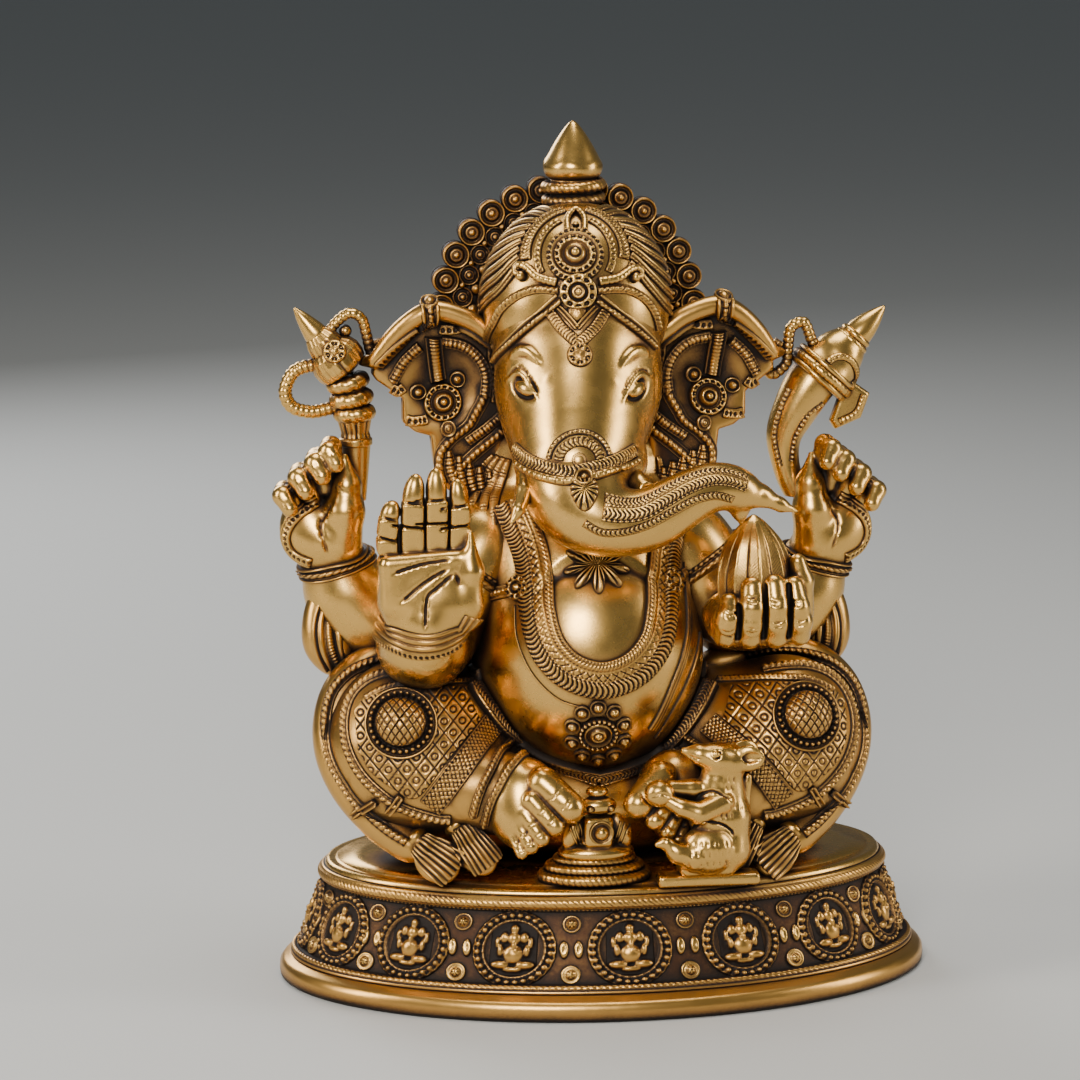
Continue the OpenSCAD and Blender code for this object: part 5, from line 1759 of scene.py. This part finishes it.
def goad():
    """A turned goad with a tilted stepped cone, a loop at its side and a curl over it."""
    heap = Heap()
    turned(heap, (-74.4, 9, 146), (-0.01, 0, 1), [(2.9, 0), (3.7, 8), (4.2, 14), (4.5, 17)])
    turned(heap, (-74.6, 9, 162.6), (-0.02, 0, 1), [(4.4, 0), (5.1, 0.5), (5.1, 2.2), (4.4, 2.8)])
    turned(heap, (-74.6, 9, 165.2), (-0.06, 0, 1), [(4.6, 0), (4.3, 1.6), (5.2, 5.4)], flutes(16, 0.9))
    turned(heap, (-74.8, 9, 170), (-0.16, 0, 1), [(4.6, 0), (4.8, 14)])
    for x, z, lean, major in ((-74.9, 172.6, -0.08, 4.1), (-75.8, 177.2, -0.16, 4.4),
                              (-76.8, 182.0, -0.25, 4.3)):
        ring(heap, (x, 9, z), (lean, 0, 1), major, 2.5, 2.2, sides=18)
    tilt = (-13.8, 0, 17.2)
    turned(heap, (-77.0, 9, 185.2), tilt, [(5.0, 0), (7.7, 1.2), (8.3, 2.8), (8.4, 5.4), (7.5, 8.0),
                                           (5.9, 9.6)], flutes(20, 0.6))
    turned(heap, (-82.7, 9, 192.4), tilt, [(5.6, 0), (5.6, 1.0), (5.1, 3.4), (3.9, 5.6), (3.3, 6.0)],
           flutes(14, 0.5))
    turned(heap, (-86.1, 9, 196.6), tilt, [(3.6, 0), (3.6, 0.9), (3.0, 3.4), (1.8, 7.4), (0.4, 10.6)],
           smooth=True)
    boss(heap, (-81.4, 1.6, 192.6), 3.6, [(0.4, 1.2, flat(0.9)), (1.8, 1.2, dots(1 / 6, 0.6)),
                                          (1.4, 1.7, knob)],
         out=(-0.1, -1, 0.2), sink=3)
    loop = [(-82.0, 186.6), (-87.3, 187.4), (-93.0, 185.5), (-95.7, 179.8), (-93.7, 175.0), (-88.0, 173.3),
            (-82.4, 174.2), (-77, 175.6)]
    curl = [(-83.0, 196.4), (-80.2, 200.2), (-76.2, 202.9), (-72.6, 201.3), (-71.1, 196.5), (-69.6, 190.7),
            (-67.5, 192.3), (-68.0, 194.9)]
    for points, size in ((loop, 2.1), (curl, 1.7)):
        cord(heap, [(x, 9, z) for x, z in points], size, 1.7, "rings", up=(0, -1, 0))
    boss(heap, (-77.4, 9, 197.6), 1.9, [(1.9, 1.9, knob)], sink=1.5)
    finish_piece(heap.cast("goad"), "goad", "polished_brass")


def horn_axe():
    """A horn that rises to a domed head with a collar and a bud, a wing at its side and a curl behind."""
    axis = unit((0.655, 0, 0.755))
    clay = Clay((46, -8, 144), (92, 30, 204), 0.5)
    clay.rods([(70.4, 12, 182.4, 9.8), (74.6, 12, 187.2, 7.4), (77.4, 12, 190.2, 5.0)], 2)
    clay.cut(half_space((69.4, 12, 181.2), axis), 0.4)
    clay.tube([(64.5, 8, 140.5, 3.4), (59.6, 9, 148, 3.2), (57.6, 10, 155, 3.5), (57.4, 11, 162.7, 4.6),
               (61, 11.5, 170.4, 5.9), (66, 12, 178.6, 6.8), (71, 12, 184, 6.0)], 0.8)
    clay.add(sheet([(79.0, 178.5), (83.9, 175.0), (81.2, 167.4), (73.1, 163.9), (71.5, 166.5),
                    (74.0, 173.6), (73, 179)],
                   lambda x, z: 11 + 0 * x * z, 4.4, 1.4), 0.8)
    finish_piece(clay.cast("horn_axe"), "horn_axe", "polished_brass")
    heap = Heap()
    for off, size, kind in ((-1.9, 1.0, "plain"), (0.2, 1.5, "rope"), (2.4, 1.0, "plain")):
        ring(heap, vec(69.2, 12, 181.2) + axis * off, axis, 9.7, size, 1.7, kind)
    for off, major in ((-2.0, 5.6), (0.0, 5.2), (2.0, 4.6)):
        kind = "plain" if off else "rope"
        ring(heap, vec(78.3, 12, 191.0) + axis * off, axis, major - 0.6, 1.2, 1.4, kind)
    tip = [(4.2, 0), (4.4, 2.6), (3.9, 6), (2.6, 10), (1.0, 13.4), (0.2, 14.6)]
    turned(heap, (78.4, 12, 191.2), (0.70, 0, 0.71), tip, smooth=True)
    edge = [(0.4, 0.7, flat()), (1.7, 1.2, rope(1.4, 1.0)), (0.4, 0.7, flat())]
    chase(heap, clay, arc((73.2, 182.4), 5.0, -50, 140), edge, y=4)
    chase(heap, clay, [(81.8, 174.6), (79.6, 169.2), (74.2, 166.4)], edge, y=9)
    row = [(0.3, 0.5, flat()), (1.5, 0.9, bead(1.5))]
    chase(heap, clay, [(58.2, 177.6), (55.4, 171.0), (53.6, 163.0), (55.4, 153.6)], row, y=6)
    chase(heap, clay, [(68.4, 173.0), (63.6, 169.0), (60.0, 162.6), (58.8, 155.0)], row[::-1], y=6)
    curl = [(68.0, 187.0), (65.5, 192.1), (63.2, 197.1), (59.3, 195.5), (58.3, 189.5), (57.8, 184.6),
            (53.4, 181.3), (52.2, 185.8), (56.0, 191.7)]
    cord(heap, [(x, 11, z) for x, z in curl], 1.8, 1.7, "rings", up=(0, -1, 0))
    finish_piece(heap.cast("horn_axe_work"), "horn_axe", "polished_brass")


def modak():
    """The sweet: a pointed bulb of leaves, ridged down their middles and veined."""
    def leaves(s, z):
        turn = (s - 0.75) * 9
        off = np.abs((turn + 0.5) % 1 - 0.5)
        veins = stroke((z + 7 * off) / 0.95, 0.3) * (off > 0.05) * (off < 0.42)
        fade = np.clip((33.2 - z) / 9, 0, 1)
        seam = np.exp(-((0.5 - off) / 0.05) ** 2)
        rise = (0.9 * (1 - 2 * off) ** 2 - 0.34 * veins - 0.5 * seam) * fade
        return rise, 1 - (0.6 * veins + 0.9 * seam) * fade

    heap = Heap()
    bulb = [(6.0, 0), (9.2, 6), (10.8, 12), (10.5, 18), (7.9, 25.6), (3.6, 31.4), (0.9, 33.6), (0.1, 33.9)]
    turned(heap, (40.6, -31, 112), (-0.02, 0, 1), bulb, leaves, sides=300, smooth=True, squash=0.88)
    finish_piece(heap.cast("modak"), "modak", "polished_brass")


def arm_work():
    """Bangles and cuffs on the rear wrists, wraps on the front arms, and scarf ends at the elbows."""
    bangle, cuff, wraps, tails = Heap(), Heap(), Heap(), Heap()
    band = [(1.1, 1.5, flat(0.9)), (0.4, 0.5, flat()), (2.3, 2.2, rope(1.7, 0.9)), (0.4, 0.5, flat()),
            (1.1, 1.3, flat(0.9))]
    angle = 2 * pi * np.arange(16)[:, None] / 16
    round_wrist = np.cos(angle) * vec(0.96, 0, 0.27) + np.sin(angle) * vec(0, 1, 0)
    lay(bangle, vec(-79.2, 10, 126.6) + 8.6 * round_wrist, band, rear_arm, loop=True)
    chase(cuff, rear_arm, [(-86.6, 147.0), (-91.6, 144.2), (-95.4, 140.2), (-96.6, 135.4), (-94.4, 130.8),
                           (-88.6, 127.6)],
          [(0.5, 0.9, flat(0.9)), (2.3, 1.2, dots(1.7, 0.55)), (0.5, 0.9, flat(0.9)),
           (1.4, 0.7, flat(0.9))], y=4, fade=1.5)
    scarf = Clay((-98, -6, 84), (-66, 26, 128), 0.5)
    scarf.tube([(-84, 8, 121, 2.4), (-86.6, 7, 112, 3.8), (-86, 6, 103, 5.0), (-82.4, 6, 97.2, 4.6)], 1)
    scarf.tube([(-80, 7, 114, 2.0), (-80.4, 5, 105, 3.4), (-79.4, 5, 98.4, 3.6)], 2.5)
    pleats = [(1.7, 1.0, flat(0.9)), (0.3, 0.2, flat()), (2.1, 1.3, ribs(1.0, 0.5)), (0.3, 0.2, flat()),
              (1.7, 1.0, flat(0.9)), (0.3, 0.2, flat()), (1.7, 1.0, flat(0.9))]
    chase(tails, scarf, [(-83.4, 117.5), (-85.0, 109), (-84.4, 101.5), (-82.0, 95.6)], pleats, y=2,
          narrow=lambda q: 0.55 + 0.75 * np.sin(pi * np.clip(0.15 + 0.7 * q, 0, 1)))
    for heap, name, node, slot in ((bangle, "bangle", "bangles", "antiqued_brass"),
                                   (cuff, "cuff", "rear_arm", "polished_brass"),
                                   (scarf, "scarf", "elbow_scarves", "antiqued_brass"),
                                   (tails, "scarf_pleats", "elbow_scarves", "antiqued_brass")):
        made = finish_piece(heap.cast(name + "_right"), "rear_arm_right" if node == "rear_arm" else node,
                            slot)
        twin(made, name + "_left", "rear_arm_left" if node == "rear_arm" else node, slot, **REAR_TWIN)
    layers = [(0.4, 0.8, flat()), (1.7, 1.1, dots(1.5, 0.55)), (0.4, 0.8, flat()), (0.4, 0.2, flat()),
              (1.9, 1.1, flat(0.8)), (0.4, 0.2, flat()), (1.9, 1.0, flat(0.8)), (0.4, 0.2, flat()),
              (1.6, 0.9, flat(0.8))]
    chase(wraps, blessing, arc((-57.3, 124.4), 17.6, 212, 328, 0.98, 13), layers[::-1], y=-24, step=0.3)
    for clay, centre, along in ((blessing, (-42, -1, 125), (-9, -2, -13)),
                                (sweet_hand, (28, -1, 125), (9, -2, -13))):
        _, side, above = turned_axes(along, (0, 1, 0))
        lay(wraps, vec(centre) + 11 * (np.cos(angle) * side + np.sin(angle) * above),
            [(1.3, 1.3, bead(1.4)), (0.4, 0.5, flat()), (2.0, 1.7, rope(1.6, 0.9)), (0.5, 0.8, flat())],
            clay, loop=True)
    finish_piece(wraps.cast("armlets"), "armlets")


goad()
horn_axe()
modak()
arm_work()


# ---------------------------------------------------------------- camera, light and floor

def stage():
    camera = bpy.data.objects.new("camera", bpy.data.cameras.new("camera"))
    camera.data.lens, camera.data.sensor_width = 142.8, 36
    camera.data.clip_start, camera.data.clip_end = 0.05, 40
    camera.location = Vector(EYE * MM)
    camera.rotation_euler = Vector(-BACK).to_track_quat("-Z", "Y").to_euler()
    bpy.context.collection.objects.link(camera)
    bpy.context.scene.camera = camera

    lights = [("key", (-0.30, -1.00, 0.62), 0.34, 0.40, 9.0, (1.0, 0.97, 0.92)),
              ("left", (-0.95, -0.25, 0.55), 0.25, 0.70, 7.0, (1.0, 0.95, 0.88)),
              ("right", (0.95, -0.30, 0.40), 0.25, 0.70, 4.5, (1.0, 0.95, 0.88)),
              ("top", (0.05, 0.05, 1.15), 0.60, 0.50, 6.5, (1.0, 0.98, 0.95)),
              ("rear", (-0.35, 0.95, 0.55), 0.5, 0.4, 5.0, (0.95, 0.97, 1.0))]
    for name, place, wide, tall, power, colour in lights:
        lamp = bpy.data.lights.new(name, "AREA")
        lamp.shape, lamp.size, lamp.size_y, lamp.energy, lamp.color = "RECTANGLE", wide, tall, power, colour
        lit = bpy.data.objects.new(name, lamp)
        lit.location = place
        lit.rotation_euler = (Vector(place) - Vector((0, 0, 0.12))).to_track_quat("Z", "Y").to_euler()
        bpy.context.collection.objects.link(lit)

    world = bpy.data.worlds.new("room")
    world.use_nodes = True
    world.node_tree.nodes["Background"].inputs["Color"].default_value = (0.60, 0.66, 0.70, 1)
    world.node_tree.nodes["Background"].inputs["Strength"].default_value = 0.16
    bpy.context.scene.world = world

    mesh = bpy.data.meshes.new("floor")
    half = 16.0
    mesh.from_pydata([(-half, -half, 0), (half, -half, 0), (half, half, 0), (-half, half, 0)], [],
                     [(0, 1, 2, 3)])
    floor = bpy.data.objects.new("floor", mesh)
    bpy.context.collection.objects.link(floor)
    pale = Finish("pale floor")
    pale.feed("Base Color", (0.55, 0.55, 0.53, 1))
    pale.feed("Roughness", 0.8)
    mesh.materials.append(pale.material)


stage()
